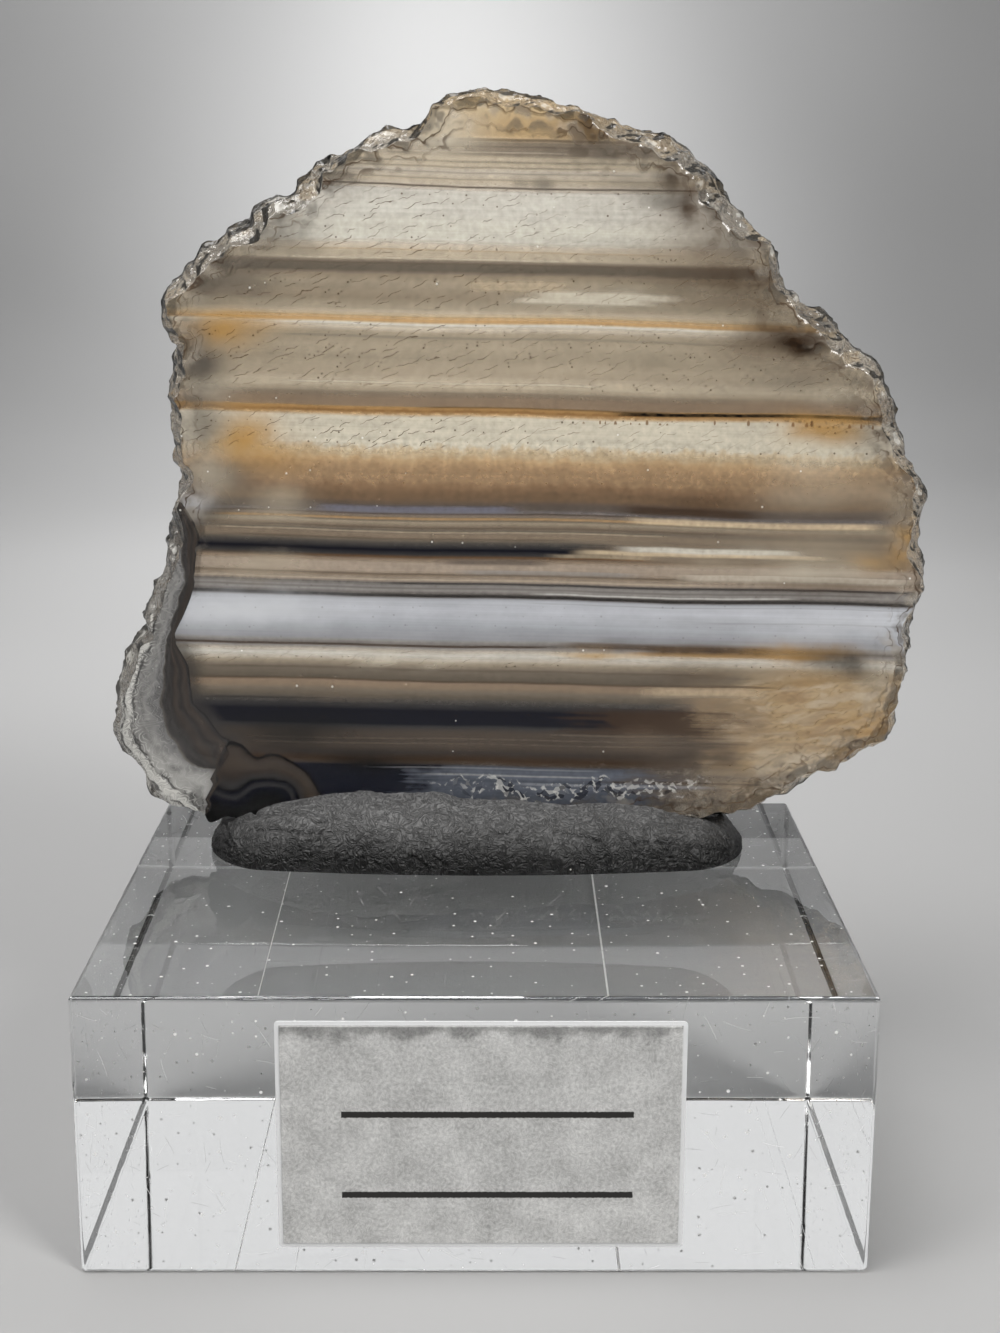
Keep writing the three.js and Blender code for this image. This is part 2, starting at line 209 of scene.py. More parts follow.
class Nodes:
    """A node tree that is written as short calls."""

    def __init__(self, tree):
        self.tree = tree

    def add(self, kind, inputs=None, **settings):
        """A new node; inputs are values or links by name or number, settings are its properties."""
        node = self.tree.nodes.new(kind)
        for key, value in settings.items():
            setattr(node, key, value)
        for key, value in (inputs or {}).items():
            self.put(node.inputs[key], value)
        return node

    def put(self, socket, value):
        """Links a value to an input, or sets a plain number or colour on it."""
        if isinstance(value, Value):
            self.tree.links.new(value.socket, socket)
        else:
            socket.default_value = value

    def out(self, node, key=0):
        return Value(self, node.outputs[key])

    def math(self, operation, *values):
        return self.out(self.add("ShaderNodeMath", dict(enumerate(values)), operation=operation))

    def absolute(self, value):
        return self.math("ABSOLUTE", value)

    def smaller(self, a, b):
        return self.math("MINIMUM", a, b)

    def larger(self, a, b):
        return self.math("MAXIMUM", a, b)

    def place(self):
        """Object coordinates in millimetres, as x, y, z."""
        coordinates = self.add("ShaderNodeTexCoord")
        inputs = {0: self.out(coordinates, "Object"), "Scale": 1 / MM}
        scaled = self.add("ShaderNodeVectorMath", inputs, operation="SCALE")
        split = self.add("ShaderNodeSeparateXYZ", {0: self.out(scaled)})
        return [self.out(split, axis) for axis in "XYZ"]

    def attribute(self, name):
        return self.out(self.add("ShaderNodeAttribute", attribute_name=name), "Fac")

    def vector(self, x, y=0.0, z=0.0):
        return self.out(self.add("ShaderNodeCombineXYZ", {0: x, 1: y, 2: z}))

    def noise(self, vector, scale=1.0, detail=2.0, roughness=0.5, distortion=0.0, dimensions="2D"):
        """Noise from -0.5 to 0.5."""
        node = self.add(
            "ShaderNodeTexNoise",
            {"Vector": vector, "Scale": scale, "Detail": detail, "Roughness": roughness,
             "Distortion": distortion},
            noise_dimensions=dimensions)
        return self.out(node) - 0.5

    def cells(self, vector, scale=1.0, dimensions="2D", randomness=1.0):
        return self.add(
            "ShaderNodeTexVoronoi", {"Vector": vector, "Scale": scale, "Randomness": randomness},
            voronoi_dimensions=dimensions)

    def chances(self, cell):
        """Three random numbers from 0 to 1 for each cell."""
        split = self.add("ShaderNodeSeparateColor", {0: self.out(cell, "Color")})
        return [self.out(split, part) for part in ("Red", "Green", "Blue")]

    def dot(self, cell, size, outer, inner):
        """A round dot in the middle of a cell, soft from outer to inner as shares of its size."""
        return self.step(self.out(cell, "Distance") / size, outer, inner)

    def less(self, value, limit):
        """1 where the value is below the limit, 0 elsewhere."""
        return self.math("LESS_THAN", value, limit)

    def step(self, value, low, high):
        """Smooth step from 0 at low to 1 at high; low may be the larger one."""
        return self.out(self.add(
            "ShaderNodeMapRange", {"Value": value, "From Min": low, "From Max": high},
            interpolation_type="SMOOTHSTEP", clamp=False))

    def share(self, value, low, high):
        """Straight line from 0 at low to 1 at high."""
        return self.out(self.add(
            "ShaderNodeMapRange", {"Value": value, "From Min": low, "From Max": high}, clamp=False))

    def grey(self, value):
        return self.out(self.add("ShaderNodeCombineColor", {0: value, 1: value, 2: value}))

    def near(self, value, centre, half, soft):
        """1 within half of the centre, falling to 0 over soft."""
        return self.step(self.absolute(value - centre), half + soft, half)

    def between(self, value, low, high, soft):
        return self.step(value, low - soft, low) * self.step(value, high + soft, high)

    def ramp(self, value, stops, interpolation="LINEAR"):
        """Colour and alpha at a value from 0 to 1; stops are (position, colour, alpha)."""
        node = self.add("ShaderNodeValToRGB", {0: value})
        node.color_ramp.interpolation = interpolation
        elements = node.color_ramp.elements
        elements.remove(elements[1])
        elements[0].position = stops[0][0]
        elements[0].color = (*stops[0][1], stops[0][2])
        for position, colour, alpha in stops[1:]:
            elements.new(position).color = (*colour, alpha)
        return self.out(node, 0), self.out(node, 1)

    def mix(self, factor, a, b, blend="MIX"):
        """Mixed colour; a and b are colours."""
        a, b = ((*c, 1.0) if isinstance(c, tuple) else c for c in (a, b))
        node = self.add("ShaderNodeMix", {0: factor, 6: a, 7: b}, data_type="RGBA", blend_type=blend)
        return self.out(node, 2)

    def blend(self, factor, a, b):
        """Mixed number."""
        return self.out(self.add("ShaderNodeMix", {0: factor, 2: a, 3: b}, data_type="FLOAT"), 0)

    def bump(self, height, strength, distance):
        return self.out(self.add(
            "ShaderNodeBump", {"Height": height, "Strength": strength, "Distance": distance * MM}))

    def finish(self, inputs, absorption=None):
        """Principled surface, with plain absorption inside where it is asked for."""
        shader = self.add("ShaderNodeBsdfPrincipled", inputs)
        output = self.add("ShaderNodeOutputMaterial")
        self.tree.links.new(shader.outputs[0], output.inputs["Surface"])
        if absorption:
            colour, density = absorption
            inside = self.add("ShaderNodeVolumeAbsorption", {"Color": (*colour, 1.0), "Density": density})
            self.tree.links.new(inside.outputs[0], output.inputs["Volume"])


class Layers:
    """A colour and a clearness that are painted over together."""

    def __init__(self, nodes, colour, clearness):
        self.nodes, self.colour, self.clearness = nodes, colour, clearness

    def paint(self, mask, name, strength=1.0):
        """Paints a palette colour over what is there, as strongly as the mask says."""
        srgb, clearness = PALETTE[name]
        if strength != 1.0:
            mask = mask * strength
        self.colour = self.nodes.mix(mask, self.colour, linear(srgb))
        self.clearness = self.nodes.blend(mask, self.clearness, clearness)

    def overlay(self, mask, colour, clearness):
        """Paints any colour and clearness over what is there."""
        self.colour = self.nodes.mix(mask, self.colour, colour)
        self.clearness = self.nodes.blend(mask, self.clearness, clearness)

    def section(self, name, paint, **values):
        """Paints inside a node group of its own, which gets the named values."""
        tree = bpy.data.node_groups.new(name, "ShaderNodeTree")
        kinds = {"colour": "NodeSocketColor", "clearness": "NodeSocketFloat"}
        values = {"colour": self.colour, "clearness": self.clearness, **values}
        for key in values:
            kind = kinds.get(key, "NodeSocketFloat")
            tree.interface.new_socket(key, in_out="INPUT", socket_type=kind)
        for key, kind in kinds.items():
            tree.interface.new_socket(key, in_out="OUTPUT", socket_type=kind)
        inner = Nodes(tree)
        entry = inner.add("NodeGroupInput")
        given = {key: inner.out(entry, key) for key in values}
        layers = Layers(inner, given.pop("colour"), given.pop("clearness"))
        paint(inner, layers, **given)
        inner.add("NodeGroupOutput", {"colour": layers.colour, "clearness": layers.clearness})
        group = self.nodes.add("ShaderNodeGroup", node_tree=tree)
        for key, value in values.items():
            self.nodes.put(group.inputs[key], value)
        self.colour, self.clearness = self.nodes.out(group, "colour"), self.nodes.out(group, "clearness")


# Lines along the beds: level, half thickness, colour, strength, from x, to x
LINES = [
    (56.4, 0.05, "umber", 0.7, -4.5, 9.0), (55.75, 0.03, "pale", 0.5, -4.0, 4.0),
    (56.05, 0.035, "umber", 0.35, -5.0, 8.0), (55.25, 0.035, "smoke", 0.5, -7.0, 11.0),
    (54.95, 0.03, "smoke", 0.5, -8.0, 6.0), (54.65, 0.03, "smoke", 0.35, -8.0, 8.0),
    (54.3, 0.03, "smoke", 0.35, -8.5, 12.0), (53.87, 0.035, "umber", 0.85, -9.8, 13.5),
    (50.45, 0.03, "rust", 0.3, -10.0, 10.0), (49.98, 0.03, "gold_cream", 0.35, -10.0, 4.0),
    (49.72, 0.05, "umber", 0.3, -11.5, 16.0), (47.98, 0.15, "gold_cream", 0.7, 4.4, 10.0),
    (47.66, 0.13, "gold_cream", 0.7, 3.2, 8.6), (48.5, 0.25, "straw", 0.4, 0.4, 4.0),
    (46.62, 0.045, "rust", 0.4, -13.0, 17.0), (46.44, 0.05, "rust", 0.5, -15.0, 16.0),
    (46.2, 0.04, "frost", 0.5, -13.0, 12.0), (45.5, 0.05, "smoke", 0.25, -10.0, 14.0),
    (42.95, 0.04, "gold_cream", 0.4, -10.0, 6.0), (42.3, 0.12, "taupe_dark", 0.35, -13.0, 14.0),
    (41.5, 0.08, "ink", 0.95, 9.0, 22.5), (41.62, 0.04, "umber", 0.55, -2.0, 10.0),
    (41.4, 0.05, "rust_dark", 0.45, -13.0, 9.0), (35.75, 0.15, "periwinkle", 0.75, -8.0, 1.0),
    (35.92, 0.2, "umber", 0.75, 9.5, 15.0), (35.3, 0.14, "straw", 0.8, 10.0, 22.0),
    (35.5, 0.035, "umber", 0.6, -14.5, 9.0), (35.22, 0.05, "rust", 0.6, -14.0, 10.5),
    (35.1, 0.035, "umber", 0.4, -9.0, 18.0), (34.7, 0.04, "umber", 0.35, -12.0, 14.0),
    (34.45, 0.04, "sand", 0.4, -14.0, 10.0), (34.05, 0.04, "umber", 0.35, -13.0, 4.0),
    (33.66, 0.12, "cream", 0.85, 9.5, 17.5), (33.4, 0.1, "straw", 0.75, 7.0, 19.0),
    (33.5, 0.08, "frost", 0.6, 11.5, 15.5), (33.15, 0.09, "straw", 0.4, 5.5, 9.0),
    (33.0, 0.05, "rust_dark", 0.55, -9.0, 9.0), (32.72, 0.13, "umber_grey", 0.75, -1.0, 3.0),
    (32.2, 0.17, "grey_mist", 0.7, 0.0, 8.0), (32.1, 0.2, "pale", 0.8, 13.0, 24.0),
    (31.95, 0.04, "umber", 0.5, -16.0, 12.0), (31.62, 0.04, "sand", 0.35, -16.0, 12.0),
    (31.4, 0.05, "ink", 0.6, -4.0, 24.0), (31.1, 0.05, "charcoal", 0.45, -16.0, 22.0),
    (30.86, 0.04, "frost", 0.65, 4.5, 17.0), (30.66, 0.07, "ink", 0.75, -16.4, 24.6),
    (30.3, 0.03, "milk_dim", 0.35, 4.0, 24.5), (29.4, 0.04, "milk_dim", 0.4, 14.5, 24.5),
    (27.84, 0.13, "umber", 0.6, 6.2, 10.0), (27.7, 0.24, "umber", 0.75, 11.0, 16.5),
    (27.66, 0.05, "umber", 0.75, -17.5, 3.0), (27.42, 0.09, "rust", 0.6, 10.0, 19.5),
    (27.25, 0.1, "straw", 0.5, 5.5, 9.0), (26.2, 0.04, "umber", 0.35, -15.0, 13.0),
    (25.52, 0.045, "umber", 0.6, -15.5, 16.5), (25.15, 0.2, "straw", 0.45, 11.0, 15.5),
    (24.36, 0.04, "ink", 0.5, -15.0, -10.0), (22.4, 0.05, "taupe_dark", 0.4, 5.0, 11.0),
    (22.05, 0.03, "taupe_dark", 0.35, -12.0, 12.0), (21.75, 0.03, "taupe_dark", 0.35, -12.0, 12.0),
    (21.2, 0.05, "dusk", 0.5, -10.0, 6.0), (20.28, 0.035, "milk_dim", 0.45, -5.5, 6.0),
    (19.88, 0.04, "frost", 0.3, -2.0, 6.0), (19.4, 0.06, "milk_grey", 0.45, 3.5, 13.0),
    (19.65, 0.04, "umber", 0.6, 8.0, 20.5),
]
LINE_TAPER, LINE_CLEARNESS = 2.0, 0.45
LINES_A_RAMP = 7
X_RANGE = 30.0

# Soft patches that glow through the beds, by kind: x, z, half width, half height, strength
GLOWS = {
    "cream": [
        (-2.2, 57.2, 2.2, 1.1, 0.7), (8.8, 57.4, 0.9, 0.7, 0.6), (6.8, 47.7, 3.2, 0.4, 0.5),
        (-15.3, 42.5, 1.3, 0.5, 0.4), (20.6, 42.2, 1.4, 0.4, 0.25), (-15.4, 38.3, 1.2, 1.0, 0.35),
        (19.5, 38.5, 2.4, 1.1, 0.35), (16.4, 33.4, 1.6, 0.3, 0.3), (19.6, 32.0, 3.0, 0.35, 0.55),
        (-5.8, 26.9, 1.1, 0.22, 0.7), (-2.5, 26.6, 1.0, 0.2, 0.4),
    ],
    "sand": [
        (-2.6, 56.0, 2.2, 0.7, 0.6), (12.9, 54.7, 0.5, 0.6, 0.5), (22.4, 36.6, 2.2, 0.8, 0.4),
        (18.6, 36.4, 2.2, 0.6, 0.55), (-11.5, 36.3, 1.6, 0.6, 0.65), (-15.4, 37.0, 1.4, 1.0, 0.4),
        (-11.6, 35.3, 1.6, 0.35, 0.4), (-12.4, 32.4, 2.2, 0.6, 0.5), (20.4, 33.6, 2.6, 0.6, 0.4),
        (13.6, 32.4, 2.0, 0.3, 0.4), (20.0, 32.4, 2.6, 0.6, 0.5), (24.4, 36.2, 0.8, 1.4, 0.5),
        (23.4, 25.4, 1.0, 0.9, 0.5), (18.6, 20.6, 2.2, 0.8, 0.35),
    ],
    "umber": [
        (6.3, 57.2, 1.1, 0.9, 0.65), (5.8, 57.5, 0.6, 0.6, 0.8), (7.6, 56.7, 1.5, 0.4, 0.5),
        (10.7, 54.6, 0.6, 0.8, 1.0), (11.9, 53.2, 0.45, 1.0, 0.9), (11.0, 53.4, 0.3, 0.9, 0.6),
        (13.2, 52.6, 0.4, 0.6, 0.7), (13.6, 48.9, 3.4, 1.1, 0.5), (15.6, 48.2, 2.0, 0.9, 0.3),
        (17.6, 45.5, 2.6, 0.9, 0.9), (18.5, 45.3, 1.1, 0.4, 0.95), (13.0, 36.0, 1.9, 0.4, 0.5),
        (20.0, 31.05, 4.0, 0.3, 0.5), (8.6, 27.75, 1.8, 0.28, 0.35), (13.2, 27.7, 1.7, 0.35, 0.5),
        (22.3, 26.2, 0.9, 0.45, 0.7), (19.6, 27.0, 1.3, 0.35, 0.35), (13.0, 25.9, 2.2, 0.3, 0.45),
    ],
    "brown": [
        (4.4, 57.0, 0.7, 0.5, 0.35), (9.8, 56.5, 0.8, 0.5, 0.45), (12.6, 53.9, 0.5, 0.5, 0.5),
        (13.8, 51.8, 3.2, 1.7, 0.5), (12.8, 50.4, 3.2, 0.5, 0.35), (-15.9, 44.2, 0.5, 0.8, 0.4),
        (-16.2, 45.4, 0.8, 1.1, 0.6), (16.6, 45.9, 1.6, 0.4, 0.5), (19.4, 43.8, 1.8, 0.5, 0.35),
        (20.2, 47.2, 1.8, 0.9, 0.35), (15.5, 44.8, 2.0, 0.6, 0.25), (23.4, 38.4, 1.1, 1.8, 0.35),
        (18.4, 34.5, 2.2, 0.35, 0.25), (-8.0, 24.7, 2.6, 0.3, 0.25), (9.6, 21.9, 1.6, 0.6, 0.3),
        (15.8, 22.9, 1.6, 0.8, 0.35),
    ],
    "smoke": [
        (8.0, 55.8, 3.4, 0.6, 0.5), (3.6, 54.2, 0.5, 0.3, 0.7), (2.3, 54.15, 0.4, 0.22, 0.5),
        (-7.6, 54.6, 1.2, 0.8, 0.35), (10.2, 53.2, 1.4, 0.45, 0.65), (9.0, 54.0, 1.8, 0.4, 0.35),
        (14.5, 51.0, 2.4, 1.0, 0.4), (-11.9, 52.2, 1.7, 1.8, 0.6), (-13.2, 51.6, 1.6, 1.4, 0.4),
        (-10.4, 50.7, 1.6, 0.5, 0.3), (-13.6, 48.7, 1.8, 0.9, 0.6), (-15.5, 48.9, 1.1, 1.2, 0.6),
        (-15.8, 43.9, 1.0, 1.1, 1.0), (18.0, 43.1, 1.9, 0.6, 0.45), (-15.7, 40.4, 1.0, 1.7, 0.65),
        (-14.6, 37.6, 1.6, 0.8, 0.8), (22.6, 40.0, 1.2, 0.7, 0.4), (13.0, 29.2, 2.6, 0.5, 0.1),
    ],
    "ink": [
        (10.6, 54.7, 0.35, 0.4, 0.5), (18.3, 45.3, 1.3, 0.45, 0.75), (-15.4, 35.5, 1.0, 0.45, 0.6),
        (21.3, 26.7, 1.8, 0.5, 0.85), (-11.0, 22.4, 3.6, 1.0, 0.75), (-6.0, 20.5, 2.8, 0.5, 0.7),
        (-6.5, 20.9, 2.0, 0.4, 0.5),
    ],
    "amber": [
        (-14.4, 45.9, 1.7, 0.8, 0.85), (-12.6, 46.3, 2.0, 0.35, 0.45), (-13.4, 39.9, 1.5, 1.1, 0.95),
        (-11.8, 38.9, 1.8, 0.8, 0.4), (19.8, 40.4, 1.7, 0.65, 0.95), (21.2, 40.3, 1.0, 0.5, 0.5),
        (22.8, 32.6, 1.0, 0.4, 0.7), (24.8, 34.2, 0.6, 0.8, 0.9), (24.4, 33.0, 0.5, 0.6, 0.6),
        (19.2, 27.3, 2.4, 0.4, 0.75), (19.5, 25.9, 2.2, 0.5, 0.25), (6.8, 27.25, 1.1, 0.2, 0.85),
        (13.6, 27.1, 3.4, 0.22, 0.5), (23.0, 22.4, 1.4, 0.8, 0.35),
    ],
    "milk": [
        (-16.4, 36.1, 0.9, 0.7, 0.6), (-13.6, 29.8, 4.6, 0.8, 0.85), (21.0, 29.0, 3.0, 0.5, 0.4),
    ],
}
GLOW_COLOURS = {
    "amber": "amber", "brown": "brown_grey", "umber": "umber", "smoke": "smoke", "sand": "sand",
    "cream": "gold_cream", "milk": "milk_white", "ink": "ink",
}
GLOW_WARP = 0.55


def gain_at(level):
    """The gain of the stone's colours at a height."""
    heights, gains = zip(*STONE_GAINS)
    return float(np.interp(level, heights, gains))


def bed_stop(level, name):
    """Linear colour and clearness of a palette entry in a bed at that height."""
    srgb, clearness = PALETTE[name]
    return linear(srgb, gain_at(level)), clearness


def stacked(nodes, level, spans, joins):
    """One set of values from a set for each span of height, top first; joins mixes each kind of value."""
    values = None
    for top, span_values in spans:
        if values is None:
            values = span_values
        else:
            below = nodes.less(level, top)
            values = [join(below, a, b) for join, a, b in zip(joins, values, span_values)]
    return values


def bed_colours(nodes, level):
    """The beds as colour ramps, one for each span of height, so that thin beds stay sharp."""
    spans = []
    for top, bottom in RAMP_SPANS:
        stops = [(0.0, *colour_at(bottom))]
        stops += [((h - bottom) / (top - bottom), *bed_stop(h, name))
                  for h, name in reversed(BEDS) if bottom < h < top]
        stops.append((1.0, *colour_at(top)))
        spans.append((top, nodes.ramp(nodes.share(level, bottom, top), stops)))
    return Layers(nodes, *stacked(nodes, level, spans, (nodes.mix, nodes.blend)))


def colour_at(level):
    """Linear colour and clearness of the beds at a height."""
    heights = [h for h, _ in BEDS][::-1]
    stops = [bed_stop(h, name) for h, name in BEDS][::-1]
    rows = np.array([(*colour, clearness) for colour, clearness in stops])
    row = [float(np.interp(level, heights, rows[:, k])) for k in range(4)]
    return tuple(row[:3]), row[3]


def line_sets():
    """The lines sorted into sets in which no two touch, each a list of lines for every span."""
    sets = []
    for line in sorted(LINES):
        level, half = line[:2]
        span = next(k for k, (top, bottom) in enumerate(RAMP_SPANS) if bottom < level <= top)
        for spans in sets:
            chosen = spans[span]
            free = not chosen or chosen[-1][0] + 1.8 * chosen[-1][1] < level - 1.8 * half
            if free and len(chosen) < LINES_A_RAMP:
                chosen.append(line)
                break
        else:
            sets.append([[] for _ in RAMP_SPANS])
            sets[-1][span].append(line)
    return sets


def line_ramps(nodes, share, top, bottom, lines):
    """One span's lines as a ramp of colour and strength, and a ramp of where each starts and ends."""
    def place_of(height):
        return (height - bottom) / (top - bottom)

    def share_of(x):
        return (x + X_RANGE) / (2 * X_RANGE)

    strengths, reaches = [], []
    below = None
    for level, half, name, strength, start, end in lines:
        colour = linear(PALETTE[name][0], gain_at(level))
        for offset, alpha in ((-1.8, 0.0), (-0.7, strength), (0.7, strength), (1.8, 0.0)):
            strengths.append((place_of(level + offset * half), colour, alpha))
        border = 0.0 if below is None else place_of((below + level) / 2)
        reaches.append((border, (share_of(start), share_of(end), 0.0), 1.0))
        below = level
    colour, alpha = nodes.ramp(share, strengths)
    reach, _ = nodes.ramp(share, reaches, "CONSTANT")
    return colour, alpha, reach


def lines_of_set(spans):
    """A function that paints one set of lines, each span of height with ramps of its own."""
    def paint(nodes, stone, x, level, grain):
        """Paints the lines that are in the set."""
        ramps = [(top, line_ramps(nodes, nodes.share(level, bottom, top), top, bottom, lines))
                 for (top, bottom), lines in zip(RAMP_SPANS, spans) if lines]
        colour, alpha, reach = stacked(nodes, level, ramps, (nodes.mix, nodes.blend, nodes.mix))
        ends = nodes.add("ShaderNodeSeparateColor", {0: reach})
        start = nodes.out(ends, "Red") * (2 * X_RANGE) - X_RANGE
        end = nodes.out(ends, "Green") * (2 * X_RANGE) - X_RANGE
        across = nodes.step(x, start - LINE_TAPER, start) * nodes.step(x, end + LINE_TAPER, end)
        stone.overlay(alpha * across * (grain * 0.7 + 1.0), colour, LINE_CLEARNESS)
    return paint


def scattered(nodes, x, z, cell_x, cell_z, randomness=1.0):
    """A jittered grid: three random numbers for each cell, and how far points are from its middle."""
    cell = nodes.cells(nodes.vector(x * (1 / cell_x), z * (1 / cell_z)), randomness=randomness)
    spot = nodes.add("ShaderNodeSeparateXYZ", {0: nodes.out(cell, "Position")})
    from_x = x - nodes.out(spot, "X") * cell_x
    from_z = z - nodes.out(spot, "Y") * cell_z
    return *nodes.chances(cell), from_x, from_z


def streak(nodes, along, across, reach, outer, inner):
    """A thin line that tapers off: soft from outer to inner across it, and reach long to either side."""
    taper = nodes.step(nodes.absolute(along) / reach, 1.0, 0.5)
    return nodes.step(nodes.absolute(across), outer, inner) * taper


def strokes(nodes, x, z, cell_x, cell_z, angle, half_length, half_width, keep):
    """Short slanted hairlines, one in some of the cells of a jittered grid."""
    tilt, size, lot, from_x, from_z = scattered(nodes, x, z, cell_x, cell_z, randomness=0.9)
    turn = (tilt - 0.5) * 0.45 + math.tan(math.radians(angle))
    bend = nodes.noise(nodes.vector(x, z), scale=2.2, detail=1.0) * 0.3
    across = from_z - from_x * turn + bend
    reach = half_length * (size * 0.75 + 0.25)
    line = streak(nodes, from_x, across, reach, half_width * 1.7, half_width * 0.7)
    return line * nodes.less(lot, keep)


def specks(nodes, x, z, spacing, radius, keep, offset, tall=1.0):
    """Dots, one in some of the cells of a jittered grid."""
    cell = nodes.cells(nodes.vector(x * (1 / spacing) + offset, z * (1 / (spacing * tall)) + offset))
    wide, lot, _ = nodes.chances(cell)
    size = radius / spacing * (wide * 0.8 + 0.4)
    return nodes.dot(cell, size, 1.2, 0.7) * nodes.less(lot, keep)


def agate_material():
    """Beds, lines, patches and flecks all through the stone, then its rind, its eye and its broken edge."""
    material, nodes = material_nodes("banded_agate")
    x, y, z = nodes.place()
    edge, broken, facet, rind, eye, sway = (
        nodes.attribute(name) for name in ("edge", "broken", "facet", "rind", "eye", "sway"))

    clouds = nodes.noise(nodes.vector(x * 0.35, z * 0.9), detail=3.0, roughness=0.6)
    grain = nodes.noise(nodes.vector(x * 2.8, z * 2.8), detail=2.0)
    jagged = nodes.noise(nodes.vector(x * 1.5, z * 0.9), detail=3.0, roughness=0.65)
    lean = (z - LEAN_LEVEL) * BED_LEAN_GROWTH + BED_LEAN
    tilted = z + x * BED_TILT + (y - FRONT_Y) * lean + sway
    bushy = nodes.between(tilted, *BUSHY_BED)
    level = tilted + bushy * jagged * 1.0

    stone = bed_colours(nodes, level)
    stripes = nodes.noise(nodes.vector(x * 0.03, z * 3.4 + x * 0.07), detail=2.0, roughness=0.7)
    milky = nodes.between(tilted, *MILK_BED)
    shade = stripes * 0.32 + clouds * 0.3 + grain * (bushy * 0.35 - milky * 0.34 + 0.42) + 1.0
    stone.colour = nodes.mix(1.0, stone.colour, nodes.grey(shade), "MULTIPLY")

    stone.section(
        "fading_beds", fading_beds, x=x, z=z, level=level, clouds=clouds, jagged=jagged, stripes=stripes)
    for k, spans in enumerate(line_sets()):
        stone.section(f"line_set_{k}", lines_of_set(spans), x=x, level=level, grain=grain)
    for kind, name in GLOW_COLOURS.items():
        glow = nodes.attribute(f"glow_{kind}")
        stone.paint(nodes.smaller(glow * (clouds * 0.7 + 1.0), 1.0), name)
    stone.section("druzy", druzy_layers, x=x, z=z, grain=grain, clouds=clouds)
    stone.section("flecks", fleck_layers, x=x, y=y, z=z, level=level, clouds=clouds)
    wobble = nodes.noise(nodes.vector(x, z), scale=0.8, detail=2.0)
    stone.section("rind", rind_layers, x=x, z=z, rind=rind, clouds=clouds, wobble=wobble)
    stone.section("eye", eye_layers, x=x, z=z, eye=eye, grain=grain)
    stone.section("edge", edge_layers, x=x, z=z, edge=edge, broken=broken, facet=facet, rind=rind,
                  clouds=clouds, wobble=wobble)
    stone.section("dust", dust_layers, x=x, z=z, broken=broken)

    ripple = nodes.noise(nodes.vector(x, y, z), scale=3.2, detail=0.0, dimensions="3D")
    nodes.finish({
        "Base Color": stone.colour,
        "Roughness": nodes.blend(broken, FACE_ROUGHNESS, EDGE_ROUGHNESS) + grain * 0.03,
        "IOR": STONE_IOR,
        "Transmission Weight": stone.clearness,
        "Normal": nodes.bump(ripple * broken, 0.8, 0.16),
    })
    return material


def fading_beds(nodes, stone, x, z, level, clouds, jagged, stripes):
    """Beds that turn brown, then tan, towards the right, and the rusty serrated line."""
    right = x + clouds * 7.0 + stripes * 6.0
    upper_navy = nodes.between(level, 33.0, 33.95, 0.12)
    stone.paint(upper_navy * nodes.step(right, 6.0, 10.0), "olive", 0.9)
    lower_beds = nodes.step(level, 26.3, 25.0)
    stone.paint(lower_beds * nodes.step(right, 9.5, 15.5), "brown_grey", 0.7)
    stone.paint(nodes.step(level, 24.3, 23.0) * nodes.between(right, 11.5, 13.5, 3.5), "brown", 0.75)
    stone.paint(nodes.between(level, 22.7, 23.8, 0.5) * nodes.between(right, 8.0, 12.5, 3.5), "umber", 0.8)
    along_flow, across_flow = x * 0.3 + z * 0.15 + clouds, z * 1.5 - x * 0.25 + clouds * 2.0
    flow = nodes.noise(nodes.vector(along_flow, across_flow), detail=2.0)
    lower_right = nodes.step(level, 27.0, 25.5) * nodes.step(right, 12.5, 19.0)
    stone.paint(lower_right, "honey", 0.9)
    stone.paint(lower_right * nodes.step(flow, 0.0, 0.15), "sand_light", 0.6)
    stone.paint(lower_right * nodes.step(flow, -0.03, -0.15), "bush_dark", 0.65)
    stone.paint(lower_right * nodes.near(flow, 0.02, 0.003, 0.012), "umber", 0.5)
    stone.paint(nodes.step(level, 20.6, 20.35) * nodes.step(right, -1.0, -5.0), "navy", 0.95)
    stone.paint(nodes.step(level, 20.9, 20.2) * nodes.step(right, 10.0, 14.0), "taupe_brown", 0.6)

    rusty = nodes.step(level + jagged * 0.5, 41.2, 41.42) * nodes.step(level, 41.72, 41.55)
    stone.paint(rusty, "rust", 0.55)
    stone.paint(nodes.between(level + jagged * 0.7, 41.28, 41.4, 0.08), "rust_dark", 0.35)


def druzy_layers(nodes, stone, x, z, grain, clouds):
    """Small clear crystals and their edges, just above the putty."""
    skewed = z + nodes.noise(nodes.vector(x, 2.0), scale=0.7, detail=2.0) * 1.8
    crystals = nodes.cells(nodes.vector(x * 2.7 + skewed * 0.7, skewed * 3.9))
    pale_lot, dark_lot, _ = nodes.chances(crystals)
    outlines = nodes.step(nodes.out(crystals, "Distance"), 0.4, 0.6)
    druzy = nodes.between(skewed, 18.6, 19.4, 0.15) * nodes.between(x, 0.5, 12.0, 2.5)
    stone.paint(druzy * nodes.step(clouds, -0.05, 0.12), "steel", 0.35)
    stone.paint(druzy * nodes.step(pale_lot, 0.8, 0.88), "frost", 0.5)
    stone.paint(druzy * nodes.step(dark_lot, 0.7, 0.8), "navy", 0.75)
    stone.paint(druzy * outlines * nodes.step(grain, -0.02, 0.16), "frost", 0.7)
    ridge = nodes.near(skewed, 19.5, 0.03, 0.06) * nodes.between(x, -2.0, 12.0, 1.5)
    stone.paint(ridge * nodes.step(grain, -0.05, 0.12), "frost", 0.45)


